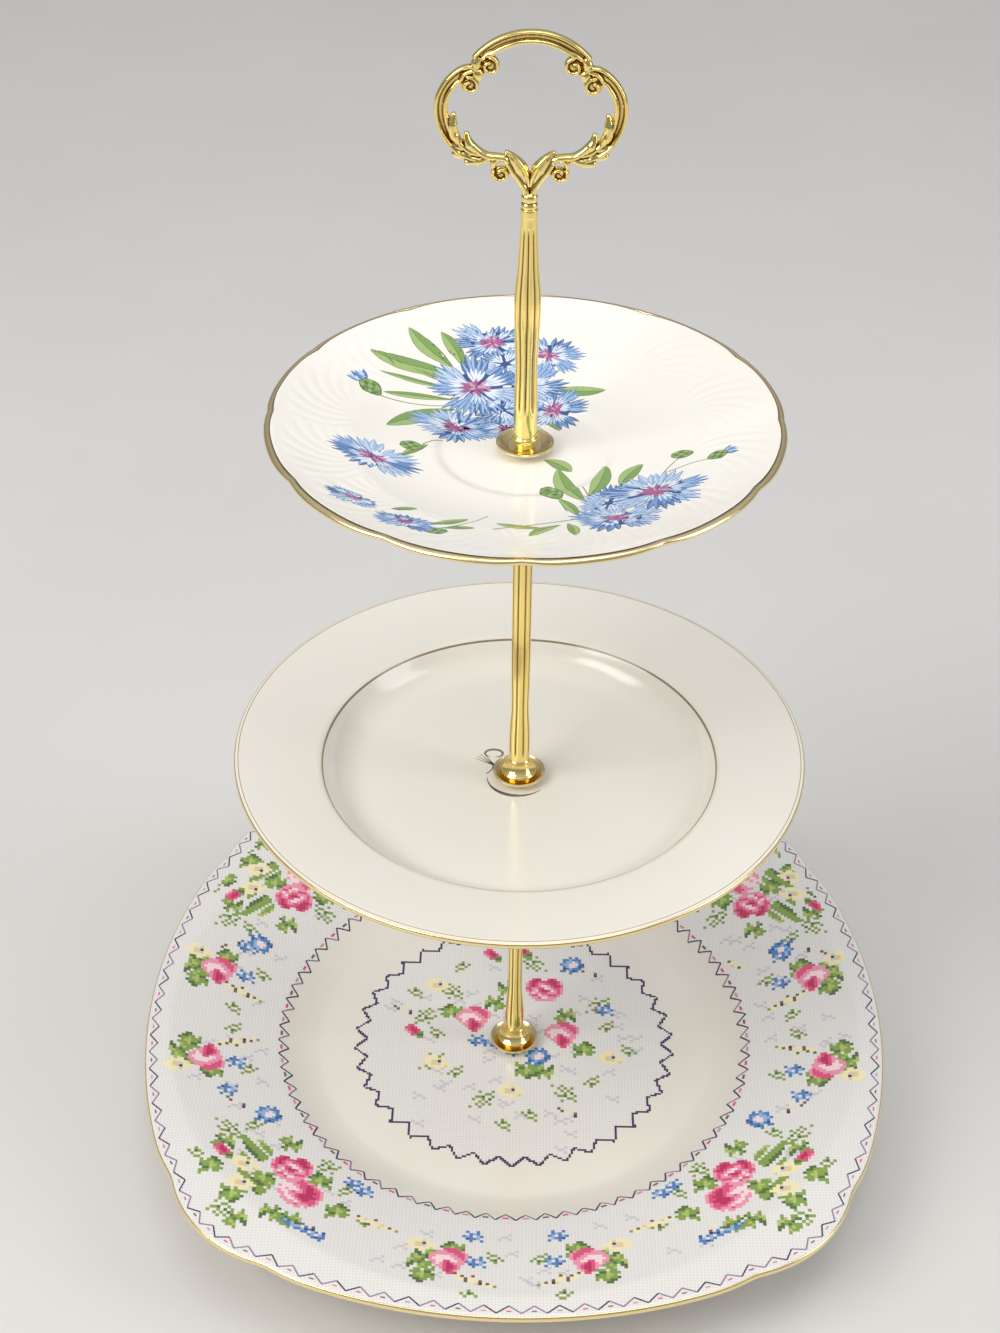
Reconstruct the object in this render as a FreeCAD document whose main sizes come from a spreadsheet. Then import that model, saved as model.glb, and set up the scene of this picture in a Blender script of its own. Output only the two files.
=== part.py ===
import FreeCAD, Part
import math
import os

import Sketcher
from FreeCAD import Placement, Rotation, Vector

# A three-tier cake stand: three china plates, each drilled through the middle and clamped
# between sections of a gilded rod. The sections screw together through the plates, and a
# cast ring handle crowns the top one.
#
# Frame: +Z is up, the origin is the centre of the bottom plate's foot ring, on the table.
# Lengths are millimetres. The ring handle lies in the XZ plane.

doc = FreeCAD.newDocument("cake_stand")

# Driving dimensions --------------------------------------------------------------------

DRIVING = {
    # stacking of one clamped plate
    "gasket_thick": 0.8,
    "gasket_radius": 5.4,
    "gasket_bevel": 0.15,
    "washer_thick": 0.7,
    "seat_gap": 0.05,
    "bore_gap": 0.05,
    "under_washer_thick": 0.8,
    "under_washer_radius": 7.0,
    "under_washer_bevel": 0.2,
    "plate_hole_radius": 4.0,
    "loose_hole_radius": 2.3,
    # dish washer over each plate
    "dish_radius": 8.4,
    "dish_flat_radius": 4.6,
    "dish_rise": 1.7,
    "dish_lower_curve": 9.0,
    "dish_upper_curve": 8.2,
    "dish_lip_height": 0.4,
    "dish_lip_top": 0.6,
    "dish_lip_width": 0.5,
    # M4 joining screws
    "thread_radius": 2.0,
    "thread_grip": 7.875,
    "thread_spare": 2.0,
    "stud_seat": 8.0,
    "stud_end_gap": 0.2,
    "thread_bevel": 0.4,
    "handle_thread_radius": 1.5,
    "handle_thread_seat": 6.0,
    "handle_thread_reach": 3.0,
    "handle_rod_spare": 1.0,
    "handle_ring_spare": 0.4,
    "screw_head_radius": 4.0,
    "screw_head_height": 2.4,
    "screw_head_round": 1.2,
    "screw_head_rise": 1.1,
    "screw_head_curve": 1.4,
    "hex_socket_radius": 1.44,
    "hex_socket_depth": 1.4,
    # lower two rods
    "rod_length": 117.0,
    "bell_base_radius": 4.1,
    "bell_radius": 5.7,
    "bell_edge": 1.3,
    "bell_band": 0.4,
    "bell_height": 5.6,
    "bell_curve": 5.2,
    "neck_radius": 3.15,
    "neck_ring_radius": 3.6,
    "neck_ring_height": 1.1,
    "body_height": 12.0,
    "body_radius": 3.4,
    "shoulder_height": 20.0,
    "waist_height": 27.0,
    "shaft_height": 42.0,
    "swell_height": 75.0,
    "swell_radius": 3.0,
    "flange_radius": 4.2,
    "flange_height": 2.5,
    "flange_slope": 2.0,
    "bottom_shoulder_radius": 2.9,
    "bottom_waist_radius": 2.4,
    "bottom_shaft_radius": 2.42,
    "middle_shoulder_radius": 3.15,
    "middle_waist_radius": 2.7,
    "middle_shaft_radius": 2.98,
    # top rod
    "top_rod_length": 74.2,
    "top_rod_foot_radius": 2.9,
    "top_lower_radius": 3.43,
    "top_ring_radius": 4.05,
    "top_ring_height": 2.6,
    "top_ring_thick": 0.9,
    "top_ring_bevel": 0.35,
    "top_waist_height": 26.4,
    "top_waist_radius": 3.1,
    "top_belly_low": 41.5,
    "top_belly_high": 49.0,
    "top_belly_radius": 3.75,
    "top_throat_height": 56.5,
    "top_throat_radius": 2.95,
    "top_neck_height": 70.6,
    "top_neck_radius": 2.25,
    "bead_radius": 2.36,
    "bead_height": 2.6,
    "bead_bevel": 0.5,
    # bottom plate, square with bowed sides and lobed corners
    "bottom_foot_radius": 78.0,
    "bottom_thick": 5.0,
    "bottom_well_height": 13.0,
    "bottom_well_radius": 70.0,
    "bottom_well_curve": 45.0,
    "bottom_verge_radius": 83.0,
    "bottom_verge_rise": 5.5,
    "bottom_verge_thick": 4.4,
    "bottom_under_verge": 3.0,
    "bottom_brim_radius": 121.8,
    "bottom_brim_drop": 1.2,
    "bottom_brim_thick": 3.4,
    "bottom_under_brim": 1.0,
    "bottom_dish_radius": 149.3,
    "bottom_rim_height": 30.6,
    "bottom_half_width": 129.8,
    "bottom_side_end": 62.6,
    "bottom_side_inset": 10.5,
    "bottom_notch_far": 111.6,
    "bottom_notch_near": 77.8,
    "bottom_side_curve": 192.0,
    "bottom_shoulder_curve": 60.0,
    "bottom_lobe_curve": 45.5,
    "bottom_edge_thick": 3.2,
    # middle plate, round with a wide rim
    "middle_thick": 4.5,
    "middle_foot_height": 3.0,
    "middle_foot_radius": 48.0,
    "middle_well_radius": 53.0,
    "middle_well_curve": 12.0,
    "middle_verge_radius": 63.3,
    "middle_verge_rise": 9.0,
    "middle_rim_radius": 91.3,
    "middle_rim_rise": 14.0,
    "middle_verge_thick": 3.6,
    "middle_under_verge": 1.5,
    "middle_under_curve": 16.0,
    "middle_under_reach": 7.0,
    "middle_edge_round": 0.8,
    "middle_edge_thick": 2.4,
    # top plate, a tea saucer
    "top_thick": 3.5,
    "top_foot_height": 2.6,
    "top_foot_radius": 25.0,
    "top_well_radius": 24.0,
    "top_ledge_radius": 26.5,
    "top_ledge_rise": 1.2,
    "top_ledge_curve": 90.0,
    "top_flank_radius": 50.0,
    "top_flank_rise": 5.4,
    "top_flank_curve": 120.0,
    "top_flank_thick": 2.9,
    "top_under_flank": 1.0,
    "top_rim_radius": 75.0,
    "top_rim_rise": 12.4,
    "top_edge_thick": 2.0,
    "top_edge_round": 0.7,
    # shared by all three plates
    "foot_width": 3.0,
    "edge_lean": 0.6,
    "trim_spare": 5.0,
    # ring handle
    "ring_height": 49.2,
    "crown_curve": 18.3,
    "crown_bar": 1.9,
    "crown_half_angle": 54.0,
    "side_curve": 10.4,
    "side_bar": 1.65,
    "side_half_width": 25.4,
    "side_height": 27.4,
    "side_start_angle": -70.0,
    "side_sweep_angle": 150.0,
    "upper_scroll_x": 10.9,
    "upper_scroll_z": 39.8,
    "upper_scroll_curve": 1.85,
    "lower_scroll_x": 15.6,
    "lower_scroll_z": 34.3,
    "lower_scroll_curve": 1.65,
    "scroll_bar": 1.2,
    "stem_curve": 8.7,
    "stem_bar": 1.25,
    "stem_x": 10.0,
    "stem_z": 5.3,
    "stem_start_angle": 114.0,
    "stem_sweep_angle": 72.0,
    "ball_x": 7.75,
    "ball_z": 10.2,
    "ball_radius": 2.5,
    "knuckle_x": 15.2,
    "knuckle_z": 39.0,
    "knuckle_radius": 1.9,
    "leaf_root": 1.25,
    "leaf_tip": 0.55,
    "heart_root": 2.0,
    "collar_height": 2.3,
    "collar_rise": 1.3,
    "collar_neck_height": 6.3,
}

# Leaves on the right half of the handle: the foot's x and z, the length, and the lean from
# upright in degrees.
LEAVES = {
    "branch": (6.0, 13.4, 11.6, 66.0),
    "inner_leaf_low": (14.6, 17.4, 4.6, 35.0),
    "inner_leaf_high": (20.0, 20.5, 6.0, 3.0),
    "outer_leaf_high": (15.5, 16.8, 5.6, 111.0),
    "outer_leaf_low": (10.5, 14.6, 7.0, 108.0),
    "heart_leaf": (0.6, 8.6, 9.2, 38.0),
}
LEAF_ROOTS = {"branch": "stem_bar", "heart_leaf": "heart_root"}
for leaf_name, place in LEAVES.items():
    for word, number in zip(("x", "z", "length", "lean"), place):
        DRIVING[f"{leaf_name}_{word}"] = number

sheet = doc.addObject("Spreadsheet::Sheet", "dims")
for row, (alias, number) in enumerate(DRIVING.items(), start=1):
    sheet.set(f"A{row}", alias)
    sheet.set(f"B{row}", str(number))
    sheet.setAlias(f"B{row}", alias)
doc.recompute()


class Size:
    """A length that carries its value and the sheet expression that gives it."""

    def __init__(self, value, text):
        self.value = value
        self.text = text

    def _with(self, other, sign, value):
        return Size(value, f"({self.text} {sign} {size(other).text})")

    def __add__(self, other):
        return self._with(other, "+", self.value + size(other).value)

    def __sub__(self, other):
        return self._with(other, "-", self.value - size(other).value)

    def __mul__(self, other):
        return self._with(other, "*", self.value * size(other).value)

    def __truediv__(self, other):
        return self._with(other, "/", self.value / size(other).value)

    def __neg__(self):
        return self * -1


def size(thing):
    """A Size from a Size, from an alias of the sheet or from a plain number."""
    if isinstance(thing, Size):
        return thing
    if isinstance(thing, str):
        return Size(float(DRIVING[thing]), f"dims.{thing}")
    return Size(float(thing), str(thing))


# Drawing helpers -----------------------------------------------------------------------

def bind(item, **sizes):
    """Binds properties of an object to the sheet."""
    for name, value in sizes.items():
        item.setExpression(name, size(value).text)


def lift(item, height):
    """Puts an object at a height up the stand's axis."""
    item.setExpression("Placement.Base.z", size(height).text)


def pin(sketch, edge, end, corner):
    """Holds one end of a sketch edge at a corner, by its two distances from the origin."""
    for kind, distance, axis in (("DistanceX", corner[0], -2), ("DistanceY", corner[1], -1)):
        if distance.value == 0:
            sketch.addConstraint(Sketcher.Constraint("PointOnObject", edge, end, axis))
        else:
            rule = Sketcher.Constraint(kind, -1, 1, edge, end, distance.value)
            index = sketch.addConstraint(rule)
            sketch.setExpression(f"Constraints[{index}]", distance.text)


def arc_between(start, end, radius, side):
    """The shorter arc between two points, bulging left of the way from start to end if side
    is 1 and right if it is -1."""
    along = end - start
    rise = radius - math.sqrt(radius ** 2 - (along.Length / 2) ** 2)
    left = Vector(-along.y, along.x, 0).normalize()
    return Part.Arc(start, (start + end) * 0.5 + left * (side * rise), end)


def draw(sketch, outline):
    """Draws a closed outline. Each entry is a corner (x, y), or a corner with the radius and
    side of the arc that leaves it, (x, y, radius, side)."""
    corners = [[size(x) for x in entry[:2]] for entry in outline]
    spots = [Vector(x.value, y.value, 0) for x, y in corners]
    for number, entry in enumerate(outline):
        following = (number + 1) % len(outline)
        start, end = spots[number], spots[following]
        if len(entry) == 2:
            edge = sketch.addGeometry(Part.LineSegment(start, end))
        else:
            radius = size(entry[2])
            edge = sketch.addGeometry(arc_between(start, end, radius.value, entry[3]))
            index = sketch.addConstraint(Sketcher.Constraint("Radius", edge, radius.value))
            sketch.setExpression(f"Constraints[{index}]", radius.text)
        begins = 1 if sketch.getPoint(edge, 1).distanceToPoint(start) < 1e-6 else 2
        pin(sketch, edge, begins, corners[number])
        pin(sketch, edge, 3 - begins, corners[following])


def new_body(name, plane, outline):
    """A PartDesign body with one closed sketch on one of its origin planes."""
    body = doc.addObject("PartDesign::Body", name)
    body.Label = name
    sketch = body.newObject("Sketcher::SketchObject", f"{name}_outline")
    support = next(item for item in body.Origin.OriginFeatures if item.Role == plane)
    sketch.AttachmentSupport = [(support, "")]
    sketch.MapMode = "FlatFace"
    draw(sketch, outline)
    return body, sketch


def turned(name, outline, height):
    """A body of revolution about +Z from an outline of (radius, height) corners."""
    body, sketch = new_body(name, "XZ_Plane", outline)
    turning = body.newObject("PartDesign::Revolution", f"{name}_turning")
    turning.Profile = sketch
    turning.ReferenceAxis = (sketch, ["V_Axis"])
    turning.Angle = 360
    lift(body, height)
    return body


def cylinder(name, radius, height, base):
    item = doc.addObject("Part::Cylinder", name)
    bind(item, Radius=radius, Height=height)
    lift(item, base)
    return item


# Heights up the stand ------------------------------------------------------------------

over_plate = size("gasket_thick") + "seat_gap" + "washer_thick" + "seat_gap"
under_plate = size("gasket_thick") + "seat_gap" + "under_washer_thick"

bottom_well = size("bottom_well_height")
bottom_foot = bottom_well + over_plate
bottom_rod_end = bottom_foot + "rod_length"

middle_well = bottom_rod_end + under_plate + "middle_thick"
middle_foot = middle_well + over_plate
middle_rod_end = middle_foot + "rod_length"

top_well = middle_rod_end + under_plate + "top_thick"
top_foot = top_well + over_plate
handle_base = top_foot + "top_rod_length"

bore_radius = size("thread_radius") + "bore_gap"
handle_bore_radius = size("handle_thread_radius") + "bore_gap"
blind_bore = size("thread_grip") + "thread_spare"


# Plates --------------------------------------------------------------------------------
# Each plate's outline starts at the hole and runs out over the eating surface, round the
# edge and back under it. Heights are from the plate's own foot ring.

def foot_ring(radius, underside):
    """The corners of a foot ring, from its outer flank to its inner one."""
    width = size("foot_width")
    outside = size(radius) + width
    return [
        (outside + width * 0.5, underside),
        (outside, 0),
        (radius, 0),
        (size(radius) - width * 0.5, underside),
    ]


def make_bottom_plate():
    """Square plate: a turned dish trimmed to an outline of bowed sides and lobed corners."""
    well = size("bottom_well_height")
    underside = well - "bottom_thick"
    verge = size("bottom_verge_radius")
    rim = size("bottom_rim_height")
    brim, brim_height = size("bottom_brim_radius"), rim - "bottom_brim_drop"
    verge_height = well + "bottom_verge_rise"
    dish = turned("bottom_plate_dish", [
        ("plate_hole_radius", well),
        ("bottom_well_radius", well, "bottom_well_curve", -1),
        (verge, verge_height),
        (brim, brim_height),
        ("bottom_dish_radius", rim),
        ("bottom_dish_radius", rim - "bottom_edge_thick"),
        (brim + "bottom_under_brim", brim_height - "bottom_brim_thick"),
        (verge + "bottom_under_verge", verge_height - "bottom_verge_thick"),
        *foot_ring("bottom_foot_radius", underside),
        ("plate_hole_radius", underside),
    ], 0)

    near, far = size("bottom_notch_near"), size("bottom_notch_far")
    end = size("bottom_side_end")
    side = size("bottom_half_width") - "bottom_side_inset"
    quarter = [
        (side, -end, "bottom_side_curve", -1),
        (side, end, "bottom_shoulder_curve", -1),
        (far, near, "bottom_lobe_curve", -1),
        (near, far, "bottom_shoulder_curve", -1),
    ]
    outline = []
    for turn in range(4):
        outline += quarter
        quarter = [(-size(y), x, radius, bulge) for x, y, radius, bulge in quarter]
    trim, sketch = new_body("bottom_plate_trim", "XY_Plane", outline)
    pad = trim.newObject("PartDesign::Pad", "bottom_plate_trim_pad")
    pad.Profile = sketch
    bind(pad, Length=rim + "trim_spare")

    plate = doc.addObject("Part::Common", "bottom_plate")
    plate.Base = dish
    plate.Tool = trim


def make_middle_plate():
    """Round plate with a flat well and a wide, gently rising rim."""
    well = size("middle_foot_height") + "middle_thick"
    underside = size("middle_foot_height")
    verge, rim = size("middle_verge_radius"), size("middle_rim_radius")
    top = well + "middle_rim_rise"
    verge_height = well + "middle_verge_rise"
    bevel = size("middle_edge_round")
    turned("middle_plate", [
        ("plate_hole_radius", well),
        ("middle_well_radius", well, "middle_well_curve", -1),
        (verge, verge_height),
        (rim - bevel, top),
        (rim, top - bevel),
        (rim - "edge_lean", top - "middle_edge_thick"),
        (verge + "middle_under_verge", verge_height - "middle_verge_thick", "middle_under_curve", 1),
        (size("middle_foot_radius") + "middle_under_reach", underside),
        *foot_ring("middle_foot_radius", underside)[1:],
        ("plate_hole_radius", underside),
    ], middle_well - well)


def make_top_plate():
    """Tea saucer: a ledge round the cup well, then one sweep up to the rim."""
    well = size("top_foot_height") + "top_thick"
    underside = size("top_foot_height")
    ledge, flank, rim = size("top_ledge_radius"), size("top_flank_radius"), size("top_rim_radius")
    top, bevel = well + "top_rim_rise", size("top_edge_round")
    flank_height = well + "top_flank_rise"
    turned("top_plate", [
        ("plate_hole_radius", well),
        ("top_well_radius", well),
        (ledge, well + "top_ledge_rise", "top_ledge_curve", -1),
        (flank, flank_height, "top_flank_curve", -1),
        (rim - bevel, top),
        (rim, top - bevel),
        (rim - "edge_lean", top - "top_edge_thick"),
        (flank + "top_under_flank", flank_height - "top_flank_thick"),
        *foot_ring("top_foot_radius", underside),
        ("plate_hole_radius", underside),
    ], top_well - well)


make_bottom_plate()
make_middle_plate()
make_top_plate()


# Clamping stack of each plate ----------------------------------------------------------

def ring_outline(radius, thick, bevel):
    """The corners of a flat ring round the rod, bevelled along its outer edges."""
    radius, thick = size(radius), size(thick)
    return [
        ("loose_hole_radius", 0),
        (radius - bevel, 0),
        (radius, bevel),
        (radius, thick - bevel),
        (radius - bevel, thick),
        ("loose_hole_radius", thick),
    ]


def make_stack(tier, well, thick):
    """The pieces above and below one plate: a dish washer and two plastic gaskets, and the
    flat washer that carries the plate."""
    above = well + "gasket_thick" + "seat_gap"
    flat, edge = size("dish_flat_radius"), size("dish_radius")
    floor, rise = size("washer_thick"), size("dish_rise")
    turned(f"{tier}_dish_washer", [
        ("loose_hole_radius", 0),
        (flat, 0, "dish_lower_curve", -1),
        (edge, rise),
        (edge, rise + "dish_lip_height"),
        (edge - "dish_lip_width", rise + "dish_lip_top", "dish_upper_curve", 1),
        (flat, floor),
        ("loose_hole_radius", floor),
    ], above)

    gasket = ring_outline("gasket_radius", "gasket_thick", "gasket_bevel")
    underside = well - thick
    turned(f"{tier}_upper_gasket", gasket, well)
    turned(f"{tier}_lower_gasket", gasket, underside - "gasket_thick")

    washer = ring_outline("under_washer_radius", "under_washer_thick", "under_washer_bevel")
    turned(f"{tier}_under_washer", washer, underside - under_plate)


for tier, well, thick in (
    ("bottom", bottom_well, "bottom_thick"),
    ("middle", middle_well, "middle_thick"),
    ("top", top_well, "top_thick"),
):
    make_stack(tier, well, thick)


# Rods ----------------------------------------------------------------------------------

def make_lower_rod(tier, foot):
    """A slender baluster rod: a bell foot with a ring over it, a swelling body and a long
    shaft, with a threaded bore in each end."""
    bell = size("bell_height")
    ring = size("neck_ring_height")
    end = size("rod_length")
    turned(f"{tier}_rod", [
        (0, "stud_seat"),
        (bore_radius, "stud_seat"),
        (bore_radius, 0),
        ("bell_base_radius", 0),
        ("bell_radius", "bell_edge"),
        ("bell_radius", size("bell_edge") + "bell_band", "bell_curve", 1),
        ("neck_radius", bell),
        ("neck_ring_radius", bell + ring * 0.25),
        ("neck_ring_radius", bell + ring * 0.75),
        ("neck_radius", bell + ring),
        ("body_radius", "body_height"),
        (f"{tier}_shoulder_radius", "shoulder_height"),
        (f"{tier}_waist_radius", "waist_height"),
        (f"{tier}_shaft_radius", "shaft_height"),
        ("swell_radius", "swell_height"),
        ("swell_radius", end - "flange_height" - "flange_slope"),
        ("flange_radius", end - "flange_height"),
        ("flange_radius", end),
        (bore_radius, end),
        (bore_radius, end - blind_bore),
        (0, end - blind_bore),
    ], foot)


def make_top_rod():
    """The thick top rod: a ringed foot, a long fluted body with a belly, a slim neck and a
    bead under the handle."""
    ring, ring_end = size("top_ring_height"), size("top_ring_height") + "top_ring_thick"
    end = size("top_rod_length")
    bead = end - "bead_height"
    bore_end = end - "handle_thread_seat" - "handle_rod_spare"
    turned("top_rod", [
        (0, "stud_seat"),
        (bore_radius, "stud_seat"),
        (bore_radius, 0),
        ("top_rod_foot_radius", 0),
        ("top_lower_radius", ring - "top_ring_bevel"),
        ("top_ring_radius", ring),
        ("top_ring_radius", ring_end),
        ("top_lower_radius", ring_end + "top_ring_bevel"),
        ("top_lower_radius", size("top_waist_height") * 0.5),
        ("top_waist_radius", "top_waist_height"),
        ("top_belly_radius", "top_belly_low"),
        ("top_belly_radius", "top_belly_high"),
        ("top_throat_radius", "top_throat_height"),
        ("top_neck_radius", "top_neck_height"),
        ("top_neck_radius", bead),
        ("bead_radius", bead + "bead_bevel"),
        ("bead_radius", end - "bead_bevel"),
        ("top_neck_radius", end),
        (handle_bore_radius, end),
        (handle_bore_radius, bore_end),
        (0, bore_end),
    ], top_foot)


make_lower_rod("bottom", bottom_foot)
make_lower_rod("middle", middle_foot)
make_top_rod()


# Screws and studs ----------------------------------------------------------------------
# Threads are plain cylinders at their outside diameter.

def make_stud(tier, foot, below):
    """The stud fixed in a rod's foot, which reaches down through the plate into the rod
    below it."""
    tip = below - "thread_grip"
    cylinder(f"{tier}_stud", "thread_radius", foot + "stud_seat" - "stud_end_gap" - tip, tip)


make_stud("middle", middle_foot, bottom_rod_end)
make_stud("top", top_foot, middle_rod_end)

seat = size("handle_thread_seat")
cylinder("handle_stud", "handle_thread_radius", seat + "handle_thread_reach", handle_base - seat)


def make_bottom_screw():
    """Pan-head screw that comes up through the bottom plate into the bottom rod."""
    underside = bottom_well - "bottom_thick"
    head_top = underside - under_plate
    tip = bottom_foot + "thread_grip" - head_top + "screw_head_height"
    height = size("screw_head_height")
    turned("bottom_screw", [
        (0, "hex_socket_depth"),
        ("hex_socket_radius", "hex_socket_depth"),
        ("hex_socket_radius", 0),
        (size("screw_head_radius") - "screw_head_round", 0, "screw_head_curve", -1),
        ("screw_head_radius", "screw_head_rise"),
        ("screw_head_radius", height),
        ("thread_radius", height),
        ("thread_radius", tip - "thread_bevel"),
        (size("thread_radius") - "thread_bevel", tip),
        (0, tip),
    ], head_top - "screw_head_height")


make_bottom_screw()


# Ring handle ---------------------------------------------------------------------------
# A flat openwork casting in the XZ plane: a crown bar between two pairs of scrolls, a C
# curve down each side, leaves, and two stems that meet in a collar. Positions are from the
# centre of the collar's lower face.

handle_pieces = []


def place_on_handle(item, x, z, turn):
    """Stands a primitive on the handle's plane at (x, z), turned about the Y axis."""
    item.Placement = Placement(Vector(0, 0, 0), Rotation(Vector(0, 1, 0), turn))
    item.setExpression("Placement.Base.x", size(x).text)
    item.setExpression("Placement.Base.z", (handle_base + z).text)
    handle_pieces.append(item)


def curved_bar(name, x, z, curve, bar, start, sweep):
    """A round bar bent along an arc, counted anticlockwise from +X in the front view."""
    item = doc.addObject("Part::Torus", name)
    bind(item, Radius1=curve, Radius2=bar)
    item.Angle3 = sweep
    upright = Rotation(Vector(1, 0, 0), 90)
    item.Placement = Placement(Vector(0, 0, 0), upright * Rotation(Vector(0, 0, 1), start))
    item.setExpression("Placement.Base.x", size(x).text)
    item.setExpression("Placement.Base.z", (handle_base + z).text)
    handle_pieces.append(item)


def ball(name, x, z, radius):
    item = doc.addObject("Part::Sphere", name)
    bind(item, Radius=radius)
    place_on_handle(item, x, z, 0)


def leaf(label, name, hand):
    """A tapering leaf with a rounded tip, on the right half or mirrored to the left."""
    x, z, length = size(f"{name}_x") * hand, size(f"{name}_z"), size(f"{name}_length")
    lean = DRIVING[f"{name}_lean"] * hand
    item = doc.addObject("Part::Cone", label)
    bind(item, Radius1=LEAF_ROOTS.get(name, "leaf_root"), Radius2="leaf_tip", Height=length)
    place_on_handle(item, x, z, lean)
    angle = math.radians(lean)
    tip_x, tip_z = x + length * math.sin(angle), z + length * math.cos(angle)
    ball(f"{label}_tip", tip_x, tip_z, "leaf_tip")


def make_handle():
    ring_top = size("ring_height") - "crown_bar"
    crown_z = ring_top - "crown_curve"
    half = DRIVING["crown_half_angle"]
    side_start, side_sweep = DRIVING["side_start_angle"], DRIVING["side_sweep_angle"]
    stem_start, stem_sweep = DRIVING["stem_start_angle"], DRIVING["stem_sweep_angle"]
    curved_bar("crown", 0, crown_z, "crown_curve", "crown_bar", 90 - half, 2 * half)

    for hand, label in ((1, "right"), (-1, "left")):
        def mirrored(start, sweep):
            """The start angle of an arc, or of its mirror image on the left."""
            return start if hand == 1 else 180 - start - sweep

        side_x = (size("side_half_width") - "side_bar" - "side_curve") * hand
        curved_bar(f"side_bar_{label}", side_x, "side_height", "side_curve", "side_bar",
                   mirrored(side_start, side_sweep), side_sweep)
        for level in ("upper", "lower"):
            x, z = size(f"{level}_scroll_x") * hand, f"{level}_scroll_z"
            curve = f"{level}_scroll_curve"
            curved_bar(f"{level}_scroll_{label}", x, z, curve, "scroll_bar", 0, 360)
            ball(f"{level}_scroll_eye_{label}", x, z, "scroll_bar")
        curved_bar(f"stem_{label}", size("stem_x") * hand, "stem_z", "stem_curve", "stem_bar",
                   mirrored(stem_start, stem_sweep), stem_sweep)
        ball(f"ball_{label}", size("ball_x") * hand, "ball_z", "ball_radius")
        ball(f"knuckle_{label}", size("knuckle_x") * hand, "knuckle_z", "knuckle_radius")

        # the branch from the side bar down to the stem, and the leaves along it
        for name in LEAVES:
            leaf(f"{name}_{label}", name, hand)

    collar = doc.addObject("Part::Cylinder", "collar")
    bind(collar, Radius="bead_radius", Height="collar_height")
    place_on_handle(collar, 0, "collar_rise", 0)
    neck = doc.addObject("Part::Cylinder", "collar_neck")
    bind(neck, Radius="top_neck_radius", Height="collar_neck_height")
    place_on_handle(neck, 0, 0, 0)

    casting = doc.addObject("Part::MultiFuse", "handle_casting")
    casting.Shapes = handle_pieces
    depth = size("handle_thread_reach") + "handle_ring_spare"
    bore = cylinder("handle_bore", handle_bore_radius, depth, handle_base)
    ring = doc.addObject("Part::Cut", "handle_ring")
    ring.Base = casting
    ring.Tool = bore


make_handle()
doc.recompute()


# Checks and export ---------------------------------------------------------------------

NODES = [
    "handle_ring", "handle_stud", "top_rod", "top_stud", "middle_rod", "middle_stud",
    "bottom_rod", "bottom_screw",
] + [
    f"{tier}_{piece}"
    for tier in ("top", "middle", "bottom")
    for piece in ("plate", "dish_washer", "upper_gasket", "lower_gasket", "under_washer")
]

faults = [item.Label for item in doc.Objects if {"Invalid", "Error"} & set(item.State)]
if faults:
    raise RuntimeError(f"features that failed: {faults}")

shapes = {}
for name in NODES:
    shape = doc.getObject(name).Shape
    if shape.isNull() or not shape.isValid() or len(shape.Solids) != 1:
        raise RuntimeError(f"{name} isn't one valid solid")
    shapes[name] = shape

os.makedirs("parts", exist_ok=True)
for name, shape in shapes.items():
    shape.exportStep(f"parts/{name}.step")
    box = shape.optimalBoundingBox(True)
    print(f"{name:22s} {shape.Volume:10.1f} mm3  z {box.ZMin:7.2f} to {box.ZMax:7.2f}")
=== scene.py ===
import math
import random

import bpy
import numpy as np
from mathutils import Matrix, Vector
from mathutils.bvhtree import BVHTree


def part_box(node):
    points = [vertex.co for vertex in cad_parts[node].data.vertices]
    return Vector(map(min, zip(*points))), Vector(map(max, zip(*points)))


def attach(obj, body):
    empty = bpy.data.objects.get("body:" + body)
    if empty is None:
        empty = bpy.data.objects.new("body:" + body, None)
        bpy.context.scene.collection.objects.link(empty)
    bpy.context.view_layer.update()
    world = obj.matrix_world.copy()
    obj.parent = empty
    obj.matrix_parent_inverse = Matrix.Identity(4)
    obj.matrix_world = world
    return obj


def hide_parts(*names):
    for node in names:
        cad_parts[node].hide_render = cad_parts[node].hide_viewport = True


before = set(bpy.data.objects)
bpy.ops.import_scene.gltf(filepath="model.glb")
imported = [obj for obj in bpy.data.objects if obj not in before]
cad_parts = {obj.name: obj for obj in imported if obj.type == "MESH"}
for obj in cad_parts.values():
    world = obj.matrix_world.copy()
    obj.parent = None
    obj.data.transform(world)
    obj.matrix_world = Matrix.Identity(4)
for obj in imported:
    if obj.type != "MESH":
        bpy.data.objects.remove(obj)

# The looks of a three-tier china cake stand, built round its CAD frame. Lengths are
# millimetres here and become metres when a mesh is made. Plates, rods and threads take their
# sections from the frame, and printed decoration is laid on the plates as thin raised enamel.

MM = 0.001
FULL_TURN = 2 * math.pi
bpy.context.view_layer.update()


# Materials -----------------------------------------------------------------------------

def linear(colour):
    """A 0 to 255 display colour as linear light."""
    shares = [c / 255 for c in colour]
    return [s / 12.92 if s <= 0.04045 else ((s + 0.055) / 1.055) ** 2.4 for s in shares] + [1]


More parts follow.
